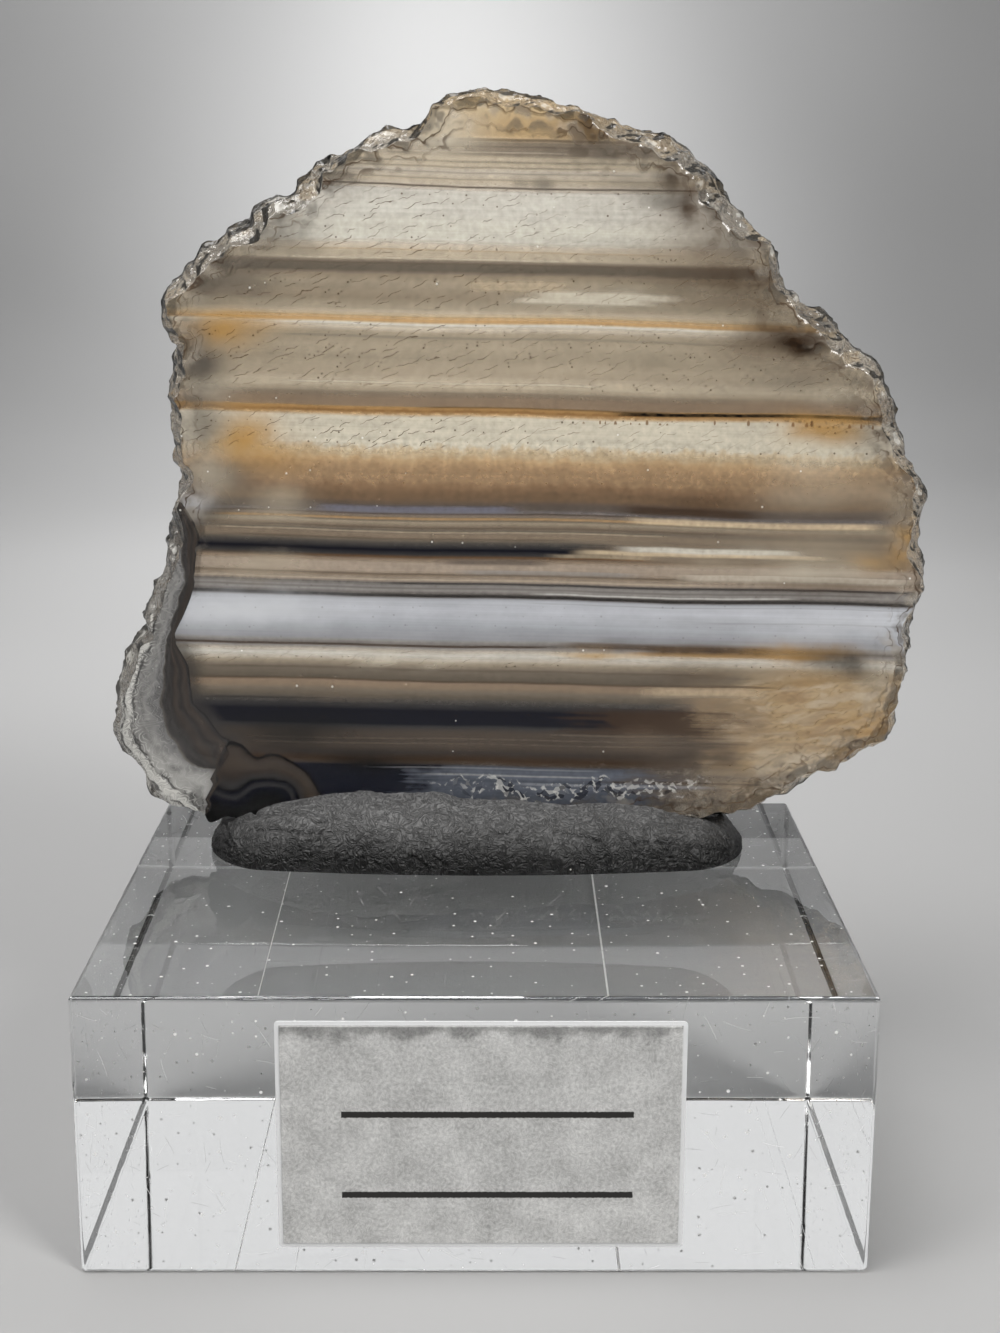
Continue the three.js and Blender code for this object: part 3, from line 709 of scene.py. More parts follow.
def edge_layers(nodes, stone, x, z, edge, broken, facet, rind, clouds, wobble):
    """Cloudy, cracked stone just inside the broken edge, and the glassy facets of the edge itself, with
    painted glints, painted shade and painted dark reflections set by the slope of each chip.
    """
    inner = nodes.step(rind, 1.7, 2.2) * (1.0 - broken) * nodes.step(x + z, 10.0, 16.0)
    near_edge = nodes.step(edge + clouds * 2.2, 2.6, 0.9) * inner
    stone.paint(near_edge * nodes.step(wobble, 0.0, 0.16), "pale", 0.55)
    stone.paint(near_edge * nodes.step(wobble, -0.02, -0.16), "smoke", 0.7)
    wispy = nodes.step(edge, 4.2, 1.2) * inner * nodes.step(x + z, 57.0, 63.0)
    stone.paint(wispy * nodes.step(wobble + clouds * 0.5, 0.03, 0.17), "umber", 0.62)
    contour = nodes.math("SINE", edge * 8.0 + wobble * 14.0)
    stone.paint(near_edge * nodes.step(contour, 0.86, 0.98), "umber", 0.85)
    stone.paint(broken, "glass")
    stone.paint(broken * nodes.step(z, 56.2, 57.2), "honey_light", 0.75)
    upper = nodes.step(x + z, 28.0, 40.0)
    stone.paint(broken * nodes.step(clouds + wobble * 0.5, 0.0, 0.15) * upper, "honey_light", 0.6)
    # Painted shade: the facets at the upper left are pushed towards the darker paints.
    painted_dark_side = nodes.step(x, 4.0, -8.0) * nodes.step(z, 34.0, 44.0) * 0.12
    tilt = facet + wobble * 0.45 + painted_dark_side
    # Painted light and shade on the facets by their slope: pale painted glints, smoky painted shade and
    # near-black painted reflections.
    stone.paint(broken * nodes.step(tilt, -0.45, -0.65), "frost", 0.55)
    stone.paint(broken * nodes.step(tilt, -0.12, 0.05), "smoke", 0.75)
    stone.paint(broken * nodes.step(tilt, 0.04, 0.14), "ink", 0.9)
    # Painted shade: dark lines where the slope of the chips passes set values.
    painted_dark_seams = nodes.larger(nodes.near(tilt, -0.3, 0.012, 0.03), nodes.near(tilt, -0.14, 0.012, 0.03))
    stone.paint(broken * painted_dark_seams, "umber", 0.85)
    # Painted dark reflection: a near-black line along the outermost edge.
    outer = nodes.step(edge + wobble * 0.4, 0.2, 0.08)
    stone.paint(broken * outer * nodes.step(clouds, -0.32, -0.08), "ink", 0.9)


def fleck_layers(nodes, stone, x, y, z, level, clouds):
    """Short slanted hairlines and specks in the clear beds."""
    clear_beds = None
    for low, high, soft, share in CLEAR_BEDS:
        bed = nodes.between(level, low, high, soft)
        bed = bed if share == 1.0 else bed * share
        clear_beds = nodes.larger(clear_beds, bed) if clear_beds else bed
    leftish = nodes.step(x, 14.0, -6.0) * 0.5 + 0.5
    in_front = nodes.step(y, FRONT_Y + 0.5, FRONT_Y + 0.3)
    stone.paint(specks(nodes, x, z, 0.6, 0.055, 0.3, 3.0) * (clear_beds * 0.6 + 0.25), "umber")
    commas = specks(nodes, x, z, 0.36, 0.09, 0.55, 21.0, 2.2)
    commas = commas * nodes.between(level, 40.95, 41.25, 0.1) * nodes.step(x, 2.0, 7.0)
    stone.paint(commas, "rust_dark", 0.85)
    hairs = strokes(nodes, x, z, 1.35, 0.52, 24, 0.95, 0.019, 0.85)
    shown = nodes.smaller(clouds * 2.6 + 0.9, 1.0)
    stone.paint(hairs * clear_beds * leftish * in_front * shown, "umber", 0.9)


def dust_layers(nodes, stone, x, z, broken):
    """A few pale specks of dust on the polished faces."""
    stone.paint(specks(nodes, x, z, 2.1, 0.055, 0.16, 31.0) * (1.0 - broken), "frost")


def named_stops(stops):
    """Ramp stops for the colours of the rind and the eye, from (position, name)."""
    return [(position, linear(PALETTE[name][0], RIND_GAIN), PALETTE[name][1]) for position, name in stops]


def rind_layers(nodes, stone, x, z, rind, clouds, wobble):
    """The rind at the lower left: 0 at the outline, 1 where its grey part ends, 2 where the beds start."""
    ends = nodes.step(rind + wobble * 0.5, 2.9, 2.0) * nodes.step(z, 28.6, 27.4)
    stone.paint(ends, "rind_dark", 0.75)
    wavy = rind + wobble * 0.22 * nodes.step(rind, 1.95, 1.5)
    inside = nodes.step(wavy, 2.03, 1.97)
    colour, clearness = nodes.ramp(wavy * 0.5, named_stops([
        (0.0, "rind_pale"), (0.06, "rind_white"), (0.17, "rind_white"), (0.21, "rind_pale"),
        (0.36, "rind_pale"), (0.44, "rind_grey"), (0.485, "rind_grey"), (0.50, "charcoal"),
        (0.53, "rind_dark"), (0.66, "rind_dark"), (0.72, "rind_brown"), (0.80, "rind_dark"),
        (0.92, "rind_brown"), (0.965, "dusk"), (1.0, "ink")]))
    rings = nodes.math("SINE", wavy * 26.0 + wobble * 9.0) * 0.16 + clouds * 0.5 + 1.0
    colour = nodes.mix(1.0, colour, nodes.grey(rings), "MULTIPLY")
    stone.overlay(inside, colour, clearness)
    worms = nodes.math("SINE", nodes.noise(nodes.vector(x + clouds, z), scale=1.0, detail=1.0) * 52.0)
    crust = nodes.step(wavy, 0.62, 0.45)
    stone.paint(crust * nodes.step(worms, 0.82, 0.97), "rind_dark", 0.85)
    stone.paint(crust * nodes.step(worms, -0.6, -0.95), "frost", 0.5)
    streaks = nodes.between(wavy, 0.15, 0.9, 0.1) * nodes.step(worms, -0.75, -0.97)
    stone.paint(streaks, "rind_white", 0.25)
    low = nodes.step(z + clouds * 2.0, 23.0, 20.0) * nodes.between(wavy, 0.15, 0.85, 0.2)
    stone.paint(low * nodes.step(wobble, -0.2, 0.1), "frost", 0.4)
    chain = nodes.near(wavy, 0.34, 0.06, 0.03)
    stone.paint(chain * nodes.step(worms, 0.1, 0.5), "frost", 0.8)
    border = nodes.larger(nodes.near(wavy, 0.24, 0.012, 0.02), nodes.near(wavy, 0.45, 0.012, 0.02))
    stone.paint(border * nodes.step(clouds, -0.1, 0.05), "dusk", 0.85)


def eye_layers(nodes, stone, x, z, eye, grain):
    """The lobed eye at the lower left: 0 along its outer line, 1 along its inner arc, 2 well inside."""
    wavy = eye + grain * 0.08
    colour, clearness = nodes.ramp(wavy * 0.5, named_stops([
        (0.0, "ink"), (0.035, "ink"), (0.07, "brown_dark"), (0.13, "rind_brown"), (0.24, "brown"),
        (0.34, "brown_dark"), (0.43, "dusk"), (0.5, "ink"), (0.54, "navy"), (0.66, "dusk"), (0.76, "navy"),
        (1.0, "ink")]))
    here = nodes.step(eye, -0.04, 0.0)
    fade = here * nodes.step(x + z * 0.5, 1.9, -0.3)
    stone.overlay(fade, colour, clearness)


def circular_smooth(rows, spacing, width):
    """Rows of values round a closed loop, smoothed with a bell curve of that width."""
    waves = np.fft.rfftfreq(len(rows), spacing)
    bell = np.exp(-2 * (math.pi * waves * width) ** 2)
    return np.fft.irfft(np.fft.rfft(rows, axis=0) * bell[:, None], len(rows), axis=0)


def resampled(ring, count):
    """Evenly spaced points on a closed ring, anticlockwise as seen from the front, and their spacing."""
    area = np.sum(ring[:, 0] * np.roll(ring[:, 1], -1) - ring[:, 1] * np.roll(ring[:, 0], -1))
    ring = ring if area > 0 else ring[::-1]
    closed = np.vstack([ring, ring[:1]])
    reached = np.r_[0, np.cumsum(np.linalg.norm(np.diff(closed, axis=0), axis=1))]
    at = np.linspace(0, reached[-1], count, endpoint=False)
    points = np.c_[np.interp(at, reached, closed[:, 0]), np.interp(at, reached, closed[:, 1])]
    return points, reached[-1] / count


def tree_of(points):
    """A search tree over points in a plane."""
    tree = kdtree.KDTree(len(points))
    for k, (x, z) in enumerate(points):
        tree.insert((x, z, 0), k)
    tree.balance()
    return tree


def away_from(tree, x, z):
    """How far a point is from the nearest one in the tree."""
    return tree.find((x, z, 0))[2]


def net_faces(rows, columns, close_rows=False, close_columns=False):
    """Four-sided faces over a net of points that is stored row by row."""
    faces = []
    for i in range(rows if close_rows else rows - 1):
        for k in range(columns if close_columns else columns - 1):
            corners = ((i, k), (i + 1, k), (i + 1, k + 1), (i, k + 1))
            faces.append(tuple(row % rows * columns + column % columns for row, column in corners))
    return faces


def turned(faces):
    """The same faces seen from the other side."""
    return [(face[0], *face[:0:-1]) for face in faces]


def hollows(along, across, length, width, spacing, stretch, random):
    """Shell-shaped hollows scattered over a strip that closes on itself: 1 in the middle, 0 on the ridges."""
    count = int(length * width / (spacing * spacing * stretch)) + 1
    seeds = np.c_[random.uniform(0, length, count), random.uniform(-spacing, width + spacing, count)]
    tree = tree_of([((s + lap * length) / stretch, w) for lap in (-1, 0, 1) for s, w in seeds])
    reach = np.array([away_from(tree, s / stretch, w) for s, w in zip(along.ravel(), across.ravel())])
    return np.clip(1 - (reach.reshape(along.shape) / (0.95 * spacing)) ** 2, 0, 1)


def loop_noise(count, spacing, size, random):
    """Smooth random values round a loop, from about -1 to 1."""
    raw = circular_smooth(random.normal(size=(count, 1)), spacing, size)[:, 0]
    return raw / (2 * raw.std())


def mesh_object(name, points, faces, material, attributes=None, sharp=None):
    """A smooth object from points in millimetres; sharp is the angle in degrees from which edges stay."""
    mesh = bpy.data.meshes.new(name)
    mesh.from_pydata((np.asarray(points) * MM).tolist(), [], faces)
    for key, values in (attributes or {}).items():
        mesh.attributes.new(key, "FLOAT", "POINT").data.foreach_set("value", np.asarray(values, "f"))
    mesh.shade_smooth()
    if sharp is not None:
        mesh.set_sharp_from_angle(angle=math.radians(sharp))
    mesh.materials.append(material)
    obj = bpy.data.objects.new(name, mesh)
    bpy.context.scene.collection.objects.link(obj)
    return obj


# The rind at the lower left: where its grey part ends, where its dark part meets the beds, as [x, z]
RIND_GREY_END = [
    (-17.5, 36.4), (-17.1, 35.4), (-17.0, 34.6), (-17.1, 33.6), (-17.0, 32.4), (-16.85, 31.7), (-17.1, 30.8),
    (-17.4, 30.0), (-17.7, 29.1), (-17.9, 28.2), (-18.1, 27.5), (-18.2, 26.4), (-18.4, 25.4), (-18.5, 24.6),
    (-18.5, 23.8), (-18.4, 22.9), (-18.0, 22.1), (-17.5, 21.2), (-16.8, 20.5), (-16.1, 20.3), (-15.4, 20.2),
    (-15.5, 19.8), (-15.6, 18.9), (-16.1, 17.8), (-16.4, 16.0),
]
RIND_END = [
    (-17.4, 36.6), (-16.8, 35.8), (-16.3, 35.0), (-16.0, 34.2), (-16.2, 33.3), (-16.4, 32.0), (-16.45, 31.1),
    (-16.7, 30.5), (-17.2, 29.4), (-17.6, 28.7), (-17.7, 27.9), (-17.3, 27.3), (-16.9, 26.6), (-16.8, 25.7),
    (-16.7, 24.3), (-16.0, 23.6), (-15.5, 22.9), (-15.0, 22.2), (-14.4, 22.0), (-14.9, 21.2), (-15.3, 20.5),
    (-15.5, 19.8), (-15.6, 18.9), (-16.1, 17.8), (-16.4, 16.0),
]
RIND_OUTSIDE = [(-30.0, 16.0), (-30.0, 36.8)]

# The eye beside the rind: its outer line and its inner arc, as [x, z], and what closes each of them
EYE_OUTER = [
    (-14.9, 21.9), (-14.4, 22.0), (-13.8, 21.7), (-13.3, 21.1), (-13.0, 20.9), (-12.3, 21.2), (-11.6, 21.1),
    (-10.7, 20.5), (-10.0, 20.0), (-9.5, 19.2), (-9.1, 18.4),
]
EYE_INNER = [
    (-15.5, 19.1), (-14.9, 18.8), (-14.4, 18.7), (-13.9, 19.1), (-13.4, 19.5), (-12.3, 19.6), (-11.3, 19.4),
    (-10.8, 19.0), (-10.5, 18.0),
]
EYE_OUTER_CLOSE = [(-8.9, 16.0), (-16.4, 16.0), (-16.1, 17.8), (-15.6, 18.9), (-15.3, 20.5), (-14.9, 21.2)]
EYE_INNER_CLOSE = [(-10.4, 16.0), (-16.4, 16.0), (-16.1, 17.8)]


def inside(x, z, ring):
    """Whether points are inside a closed ring."""
    odd = np.zeros(x.shape, bool)
    for (ax, az), (bx, bz) in zip(ring, ring[1:] + ring[:1]):
        if az != bz:
            odd ^= ((az > z) != (bz > z)) & (x < ax + (z - az) / (bz - az) * (bx - ax))
    return odd


def rind_depths(x, z, edge):
    """0 at the outline, 1 where the grey rind ends, 2 where the beds start, 3 well inside the beds."""
    to_grey, to_beds = distance_to_path(x, z, RIND_GREY_END), distance_to_path(x, z, RIND_END)
    edge = np.maximum(edge, 0)
    depth = 2 + np.minimum(to_beds, 1)
    dark = inside(x, z, RIND_END + RIND_OUTSIDE)
    depth[dark] = 1 + (to_grey / (to_grey + to_beds + 1e-6))[dark]
    grey = inside(x, z, RIND_GREY_END + RIND_OUTSIDE)
    depth[grey] = (edge / (edge + to_grey + 1e-6))[grey]
    return depth


def eye_depths(x, z):
    """0 on the eye's outer line, 1 on its inner arc, 2 a millimetre inside that, below 0 outside it."""
    to_outer, to_inner = distance_to_path(x, z, EYE_OUTER), distance_to_path(x, z, EYE_INNER)
    depth = -np.minimum(to_outer, 1)
    within = inside(x, z, EYE_OUTER + EYE_OUTER_CLOSE)
    depth[within] = (to_outer / (to_outer + to_inner + 1e-6))[within]
    core = inside(x, z, EYE_INNER + EYE_INNER_CLOSE)
    depth[core] = 1 + np.minimum(to_inner, 1)[core]
    return depth


def glows_at(points):
    """How strongly each kind of soft patch shows at each point."""
    warp_x = noise_at(points, 0.35, (1.0, 0.0, 2.0)) + 0.5 * noise_at(points, 1.1, 5.0)
    warp_z = noise_at(points, 0.4, 8.0) + 0.7 * noise_at(points, 1.3, 3.0)
    x, z = points[:, 0] + GLOW_WARP * warp_x, points[:, 2] + 0.5 * GLOW_WARP * warp_z
    values = {}
    for kind in GLOW_COLOURS:
        left = np.ones(len(points))
        for glow_x, glow_z, half_x, half_z, strength in GLOWS[kind]:
            reach = ((x - glow_x) / half_x) ** 2 + ((z - glow_z) / half_z) ** 2
            left *= 1 - strength * np.exp(-0.7 * reach ** 1.15)
        values[f"glow_{kind}"] = 1 - left
    return values


def bell(x, z, at_x, at_z, half_x, half_z):
    """1 at a spot, falling to 0 away from it."""
    return np.exp(-((x - at_x) / half_x) ** 2 - ((z - at_z) / half_z) ** 2)


def lip_widths(outline, spacing, random):
    """How far the broken edge reaches over the front face and over the back one, round the outline."""
    x, z = outline[:, 0], outline[:, 1]
    front = np.full(len(x), LIP_WIDTH)
    for far, *bulge in LIP_BULGES:
        front += far * bell(x, z, *bulge)
    front += 0.22 * loop_noise(len(x), spacing, 2.2, random) + 0.13 * loop_noise(len(x), spacing, 0.5, random)
    back = 0.6 + 0.25 * loop_noise(len(x), spacing, 2.0, random)
    front = np.clip(front, 0.28, 1.7) * np.clip(0.35 + (z - 17.5) / 2, 0.35, 1)
    front *= 1 - 0.45 * bell(x, z, *NARROW_LIP)
    return front, np.clip(back, 0.2, 1.2)


def chipped_rim(random):
    """The rim's rows of points from front to back, their insets, the slopes of the chips, the outline."""
    raw, spacing = resampled(np.array(STONE_OUTLINE), RIM_POINTS)
    outline = circular_smooth(raw, spacing, RIM_SMOOTHING)
    calm = circular_smooth(raw, spacing, DIRECTION_SMOOTHING)
    tangent = np.roll(calm, -1, axis=0) - np.roll(calm, 1, axis=0)
    tangent /= np.linalg.norm(tangent, axis=1)[:, None]
    inward = np.c_[-tangent[:, 1], tangent[:, 0]]

    front_lip, back_lip = lip_widths(outline, spacing, random)
    thickness = BACK_Y - FRONT_Y
    share = np.linspace(0, 1, RIM_ROWS + 1) ** 1.15
    length = RIM_POINTS * spacing
    strip = thickness * 1.2
    along, across = np.meshgrid(np.arange(RIM_POINTS) * spacing, share * thickness * 1.2, indexing="ij")
    chips = [hollows(along, across, length, strip, size, stretch, random) for size, stretch, _ in CHIPS]
    drift = loop_noise(RIM_POINTS, spacing, 1.6, random)[:, None]
    ledge = (across / LEDGE_HEIGHT + 0.8 * drift + 0.35 * chips[0]) % 1.0
    depth = sum(deep * chip for chip, (_, _, deep) in zip(chips, CHIPS)) + LEDGE_DEPTH * ledge

    front_slope = np.clip(1 - share / 0.5, 0, 1) ** 1.35
    back_slope = np.clip((share - 0.5) / 0.5, 0, 1) ** 1.8
    inset = front_lip[:, None] * front_slope + back_lip[:, None] * back_slope + depth
    inset -= inset.min(axis=1).mean()
    slope_along = (np.roll(depth, -1, axis=0) - np.roll(depth, 1, axis=0)) / (2 * spacing)
    slope_across = np.gradient(depth, axis=1) / (thickness / RIM_ROWS)
    facet = 0.75 * slope_along + 0.5 * slope_across
    inset[:, 0] = np.maximum(inset[:, 0], inset[:, 1] + 0.01)
    spots = outline[:, None, :] + inward[:, None, :] * inset[:, :, None]
    depths = np.broadcast_to(FRONT_Y + share * thickness, inset.shape)
    return np.stack([spots[:, :, 0], depths, spots[:, :, 1]], axis=2), inset, facet, outline


def stone_piece():
    """The slice: two flat faces joined by a rim of shell-shaped chips and fine ledges."""
    rim_points, inset, facet, outline = chipped_rim(np.random.default_rng(SEED))
    rows = RIM_ROWS + 1
    points = list(rim_points.reshape(-1, 3))
    faces = turned(net_faces(RIM_POINTS, rows, close_rows=True))
    edge = list(inset.ravel())
    facets = list(facet.ravel())
    broken = np.ones(inset.shape)
    broken[:, [0, -1]] = 0
    broken = list(broken.ravel())

    tree = tree_of(outline)
    for row, y, towards_front in ((0, FRONT_Y, True), (RIM_ROWS, BACK_Y, False)):
        ring = rim_points[:, row][:, [0, 2]]
        ring_ids = [i * rows + row for i in range(RIM_POINTS)]
        inner, triangles = filled(ring)
        start = len(points)
        points += [(x, y, z) for x, z in inner]
        edge += [away_from(tree, x, z) for x, z in inner]
        facets += [0.0] * len(inner)
        broken += [0.0] * len(inner)
        ids = ring_ids + list(range(start, start + len(inner)))
        for a, b, c in triangles:
            a, b, c = (ids[k] for k in (a, b, c))
            faces.append((a, b, c) if towards_front else (a, c, b))
    points, edge = np.array(points), np.array(edge)
    x, z = points[:, 0], points[:, 2]
    level = points * (1, 0, 1)
    sway = 0.16 * noise_at(level, (0.09, 1, 0.25), 0.0) + 0.03 * noise_at(level, (0.5, 1, 1.2), 4.0)
    attributes = {
        "edge": edge, "facet": facets, "broken": broken, "sway": sway,
        "rind": rind_depths(x, z, edge), "eye": eye_depths(x, z), **glows_at(level)}
    return mesh_object("polished_agate", points, faces, agate_material(), attributes, sharp=50)


def filled(ring):
    """Fills a closed ring with a net of points: the points added, and triangles over ring and net."""
    tree = tree_of(ring)
    low, high = ring.min(axis=0), ring.max(axis=0)
    net = []
    for row, z in enumerate(np.arange(low[1], high[1], FACE_GRID * 0.87)):
        crossings = crossings_at(ring, z)
        for x in np.arange(low[0] + FACE_GRID / 2 * (row % 2), high[0], FACE_GRID):
            within = sum(c < x for c in crossings) % 2 == 1
            if within and away_from(tree, x, z) > FACE_GRID_CLEARANCE:
                net.append((x, z))
    corners = [Vector(p) for p in ring] + [Vector(p) for p in net]
    count = len(ring)
    edges = [(i, (i + 1) % count) for i in range(count)]
    new, _, triangles, origin, *_ = geometry.delaunay_2d_cdt(corners, edges, [list(range(count))], 1, 1e-7)
    back = [o[0] for o in origin]
    ordered = []
    for a, b, c in triangles:
        turn = (new[b] - new[a]).cross(new[c] - new[a])
        a, b, c = back[a], back[b], back[c]
        ordered.append((a, b, c) if turn > 0 else (a, c, b))
    return net, ordered


def crossings_at(ring, z):
    """Where a level line at z crosses the ring, as x values."""
    after = np.roll(ring, -1, axis=0)
    crossed = (ring[:, 1] <= z) != (after[:, 1] <= z)
    a, b = ring[crossed], after[crossed]
    return a[:, 0] + (z - a[:, 1]) / (b[:, 1] - a[:, 1]) * (b[:, 0] - a[:, 0])


# The roll of putty: its crest as [x, height above the block], and how it narrows towards its ends
PUTTY_CREST = [
    (-16.05, 1.9), (-15.1, 2.3), (-13.6, 2.8), (-11.4, 3.3), (-8.9, 3.8), (-6.8, 4.0), (-3.2, 3.95),
    (-0.4, 3.5), (2.9, 3.35), (7.5, 3.25), (9.8, 3.05), (11.6, 2.6), (13.0, 2.35), (16.05, 1.7),
]
PUTTY_HALF_LENGTH, PUTTY_CENTRE_Y, PUTTY_HALF_DEPTH = 16.05, 7.3, 5.6
PUTTY_FULLNESS = 2.3
PUTTY_WAIST = 0.16
PUTTY_END_ROUND = 3.5
PUTTY_LUMPS = [(0.16, 0.62, 1.0, 0.4), (0.1, 1.35, 2.0, 2.1), (0.05, 2.9, 3.0, 4.0)]
PUTTY_STATIONS = 620
PUTTY_FRONT_STEPS, PUTTY_BACK_STEPS, PUTTY_WALL_STEPS = 64, 40, 7
PUTTY_FLOOR_STEPS, PUTTY_UNDER_STEPS = 6, 6
SLOT_CLEARANCE = 0.02
SLOT_DEPTH_CLEARANCE = 0.25
PUTTY_NOISE = {
    "dents": ((0.22, 0.4, 0.4), (3.0, 0.0, 7.0)), "wander": ((0.8, 1.1, 1.1), (0.0, 5.0, 0.0)),
    "rough": ((0.16, 0.3, 0.3), (9.0, 2.0, 1.0)), "worms": ((0.75, 1.5, 1.5), (1.0, 3.0, 2.0)),
    "fine_worms": ((1.9, 3.2, 3.2), (4.0, 1.0, 8.0)), "bumps": ((3.0, 4.5, 4.5), (2.0, 2.0, 2.0)),
}
PUTTY_PITS, PUTTY_BACK_PITS = 90, 60
DEEP_PITS = [(-14.7, 15.95, 0.2, 0.16), (-13.3, 17.6, 0.13, 0.12), (-12.2, 17.75, 0.12, 0.08)]
PUTTY_IOR, PUTTY_DUST = 1.48, (0.62, 0.6, 0.55)

# Creases pressed into the putty's front, as [x, z] in mm
CREASE_DEPTH, CREASE_WIDTH, CREASE_RIDGE = 0.12, 0.075, 0.035
PUTTY_CREASES = [
    [(-13.3, 17.55), (-12.6, 17.75), (-11.5, 17.9), (-10.3, 18.0), (-9.1, 18.0)],
    [(-13.5, 16.9), (-12.7, 17.05), (-11.7, 17.2), (-10.6, 17.1), (-9.0, 17.2)],
    [(-9.6, 18.3), (-8.7, 18.2), (-8.5, 17.9), (-8.8, 17.65), (-9.7, 17.6)],
    [(-14.9, 16.7), (-14.4, 16.2), (-14.2, 15.8)],
    [(4.5, 17.2), (5.3, 17.05), (6.1, 16.95), (7.3, 16.7)],
    [(-3.0, 16.4), (-2.4, 15.95), (-1.8, 15.6)], [(-3.9, 16.1), (-3.3, 15.8), (-2.9, 15.5)],
    [(12.5, 17.7), (13.7, 17.25), (14.8, 16.6)], [(13.9, 17.4), (14.8, 17.0), (15.3, 16.3)],
    [(13.0, 16.9), (14.2, 16.5), (15.0, 15.9)], [(-5.6, 17.6), (-5.0, 17.35), (-4.9, 16.9), (-5.4, 16.7)],
    [(0.8, 17.3), (1.7, 17.15), (2.6, 17.3)], [(9.0, 16.6), (10.2, 16.7), (11.3, 16.5)],
]


def eased(knots, x):
    """Values between the knots on a curve that is level at every knot."""
    at, values = (np.array(column) for column in zip(*knots))
    i = np.clip(np.searchsorted(at, x) - 1, 0, len(at) - 2)
    t = np.clip((x - at[i]) / (at[i + 1] - at[i]), 0, 1)
    return values[i] + (values[i + 1] - values[i]) * t * t * (3 - 2 * t)


def noise_at(points, stretch, shift):
    """Smooth noise from about -1 to 1 at an array of points."""
    flat = points.reshape(-1, 3) * stretch + shift
    return np.array([noise.noise(p) for p in flat]).reshape(points.shape[:-1])


def distance_to_path(x, z, path):
    """How far each point is from a path of straight lines."""
    nearest = np.full(x.shape, 1e9)
    for (ax, az), (bx, bz) in zip(path, path[1:]):
        length = (bx - ax) ** 2 + (bz - az) ** 2
        t = np.clip(((x - ax) * (bx - ax) + (z - az) * (bz - az)) / length, 0, 1)
        nearest = np.minimum(nearest, np.hypot(x - ax - t * (bx - ax), z - az - t * (bz - az)))
    return nearest


def surface_normals(grid):
    """Unit normals of a sheet of points."""
    across = np.cross(np.gradient(grid, axis=0), np.gradient(grid, axis=1))
    return across / np.maximum(np.linalg.norm(across, axis=2), 1e-9)[:, :, None]


def kneaded(grid, outwards, pits):
    """A sheet of the putty's surface with its dents, wormy wrinkles, creases and pits."""
    x, z = grid[:, :, 0], grid[:, :, 2]
    waves = {name: noise_at(grid, *settings) for name, settings in PUTTY_NOISE.items()}
    wander = waves["wander"]
    dents = waves["dents"] * 0.16
    rough = np.clip(0.75 + waves["rough"] * 1.3, 0.25, 1.5)
    worms = np.sin(waves["worms"] * 13 + wander * 3) * 0.024
    fine_worms = np.sin(waves["fine_worms"] * 10 + wander * 5) * 0.013
    bumps = waves["bumps"] * 0.022
    push = dents + (worms + fine_worms + bumps) * rough
    for path in PUTTY_CREASES if outwards > 0 else []:
        away = distance_to_path(x, z, path)
        ridge = np.exp(-((away - 0.2) / 0.11) ** 2)
        push += CREASE_RIDGE * ridge - CREASE_DEPTH * np.exp(-(away / CREASE_WIDTH) ** 2)
    for px, pz, radius, depth in pits:
        push -= depth * np.exp(-(((x - px) ** 2 + (z - pz) ** 2) / radius ** 2) ** 1.5)
    into = np.linspace(0, 1, grid.shape[1])[None, :]
    push *= np.clip(into / 0.1, 0, 1)
    return grid + surface_normals(grid) * (push * outwards)[:, :, None]


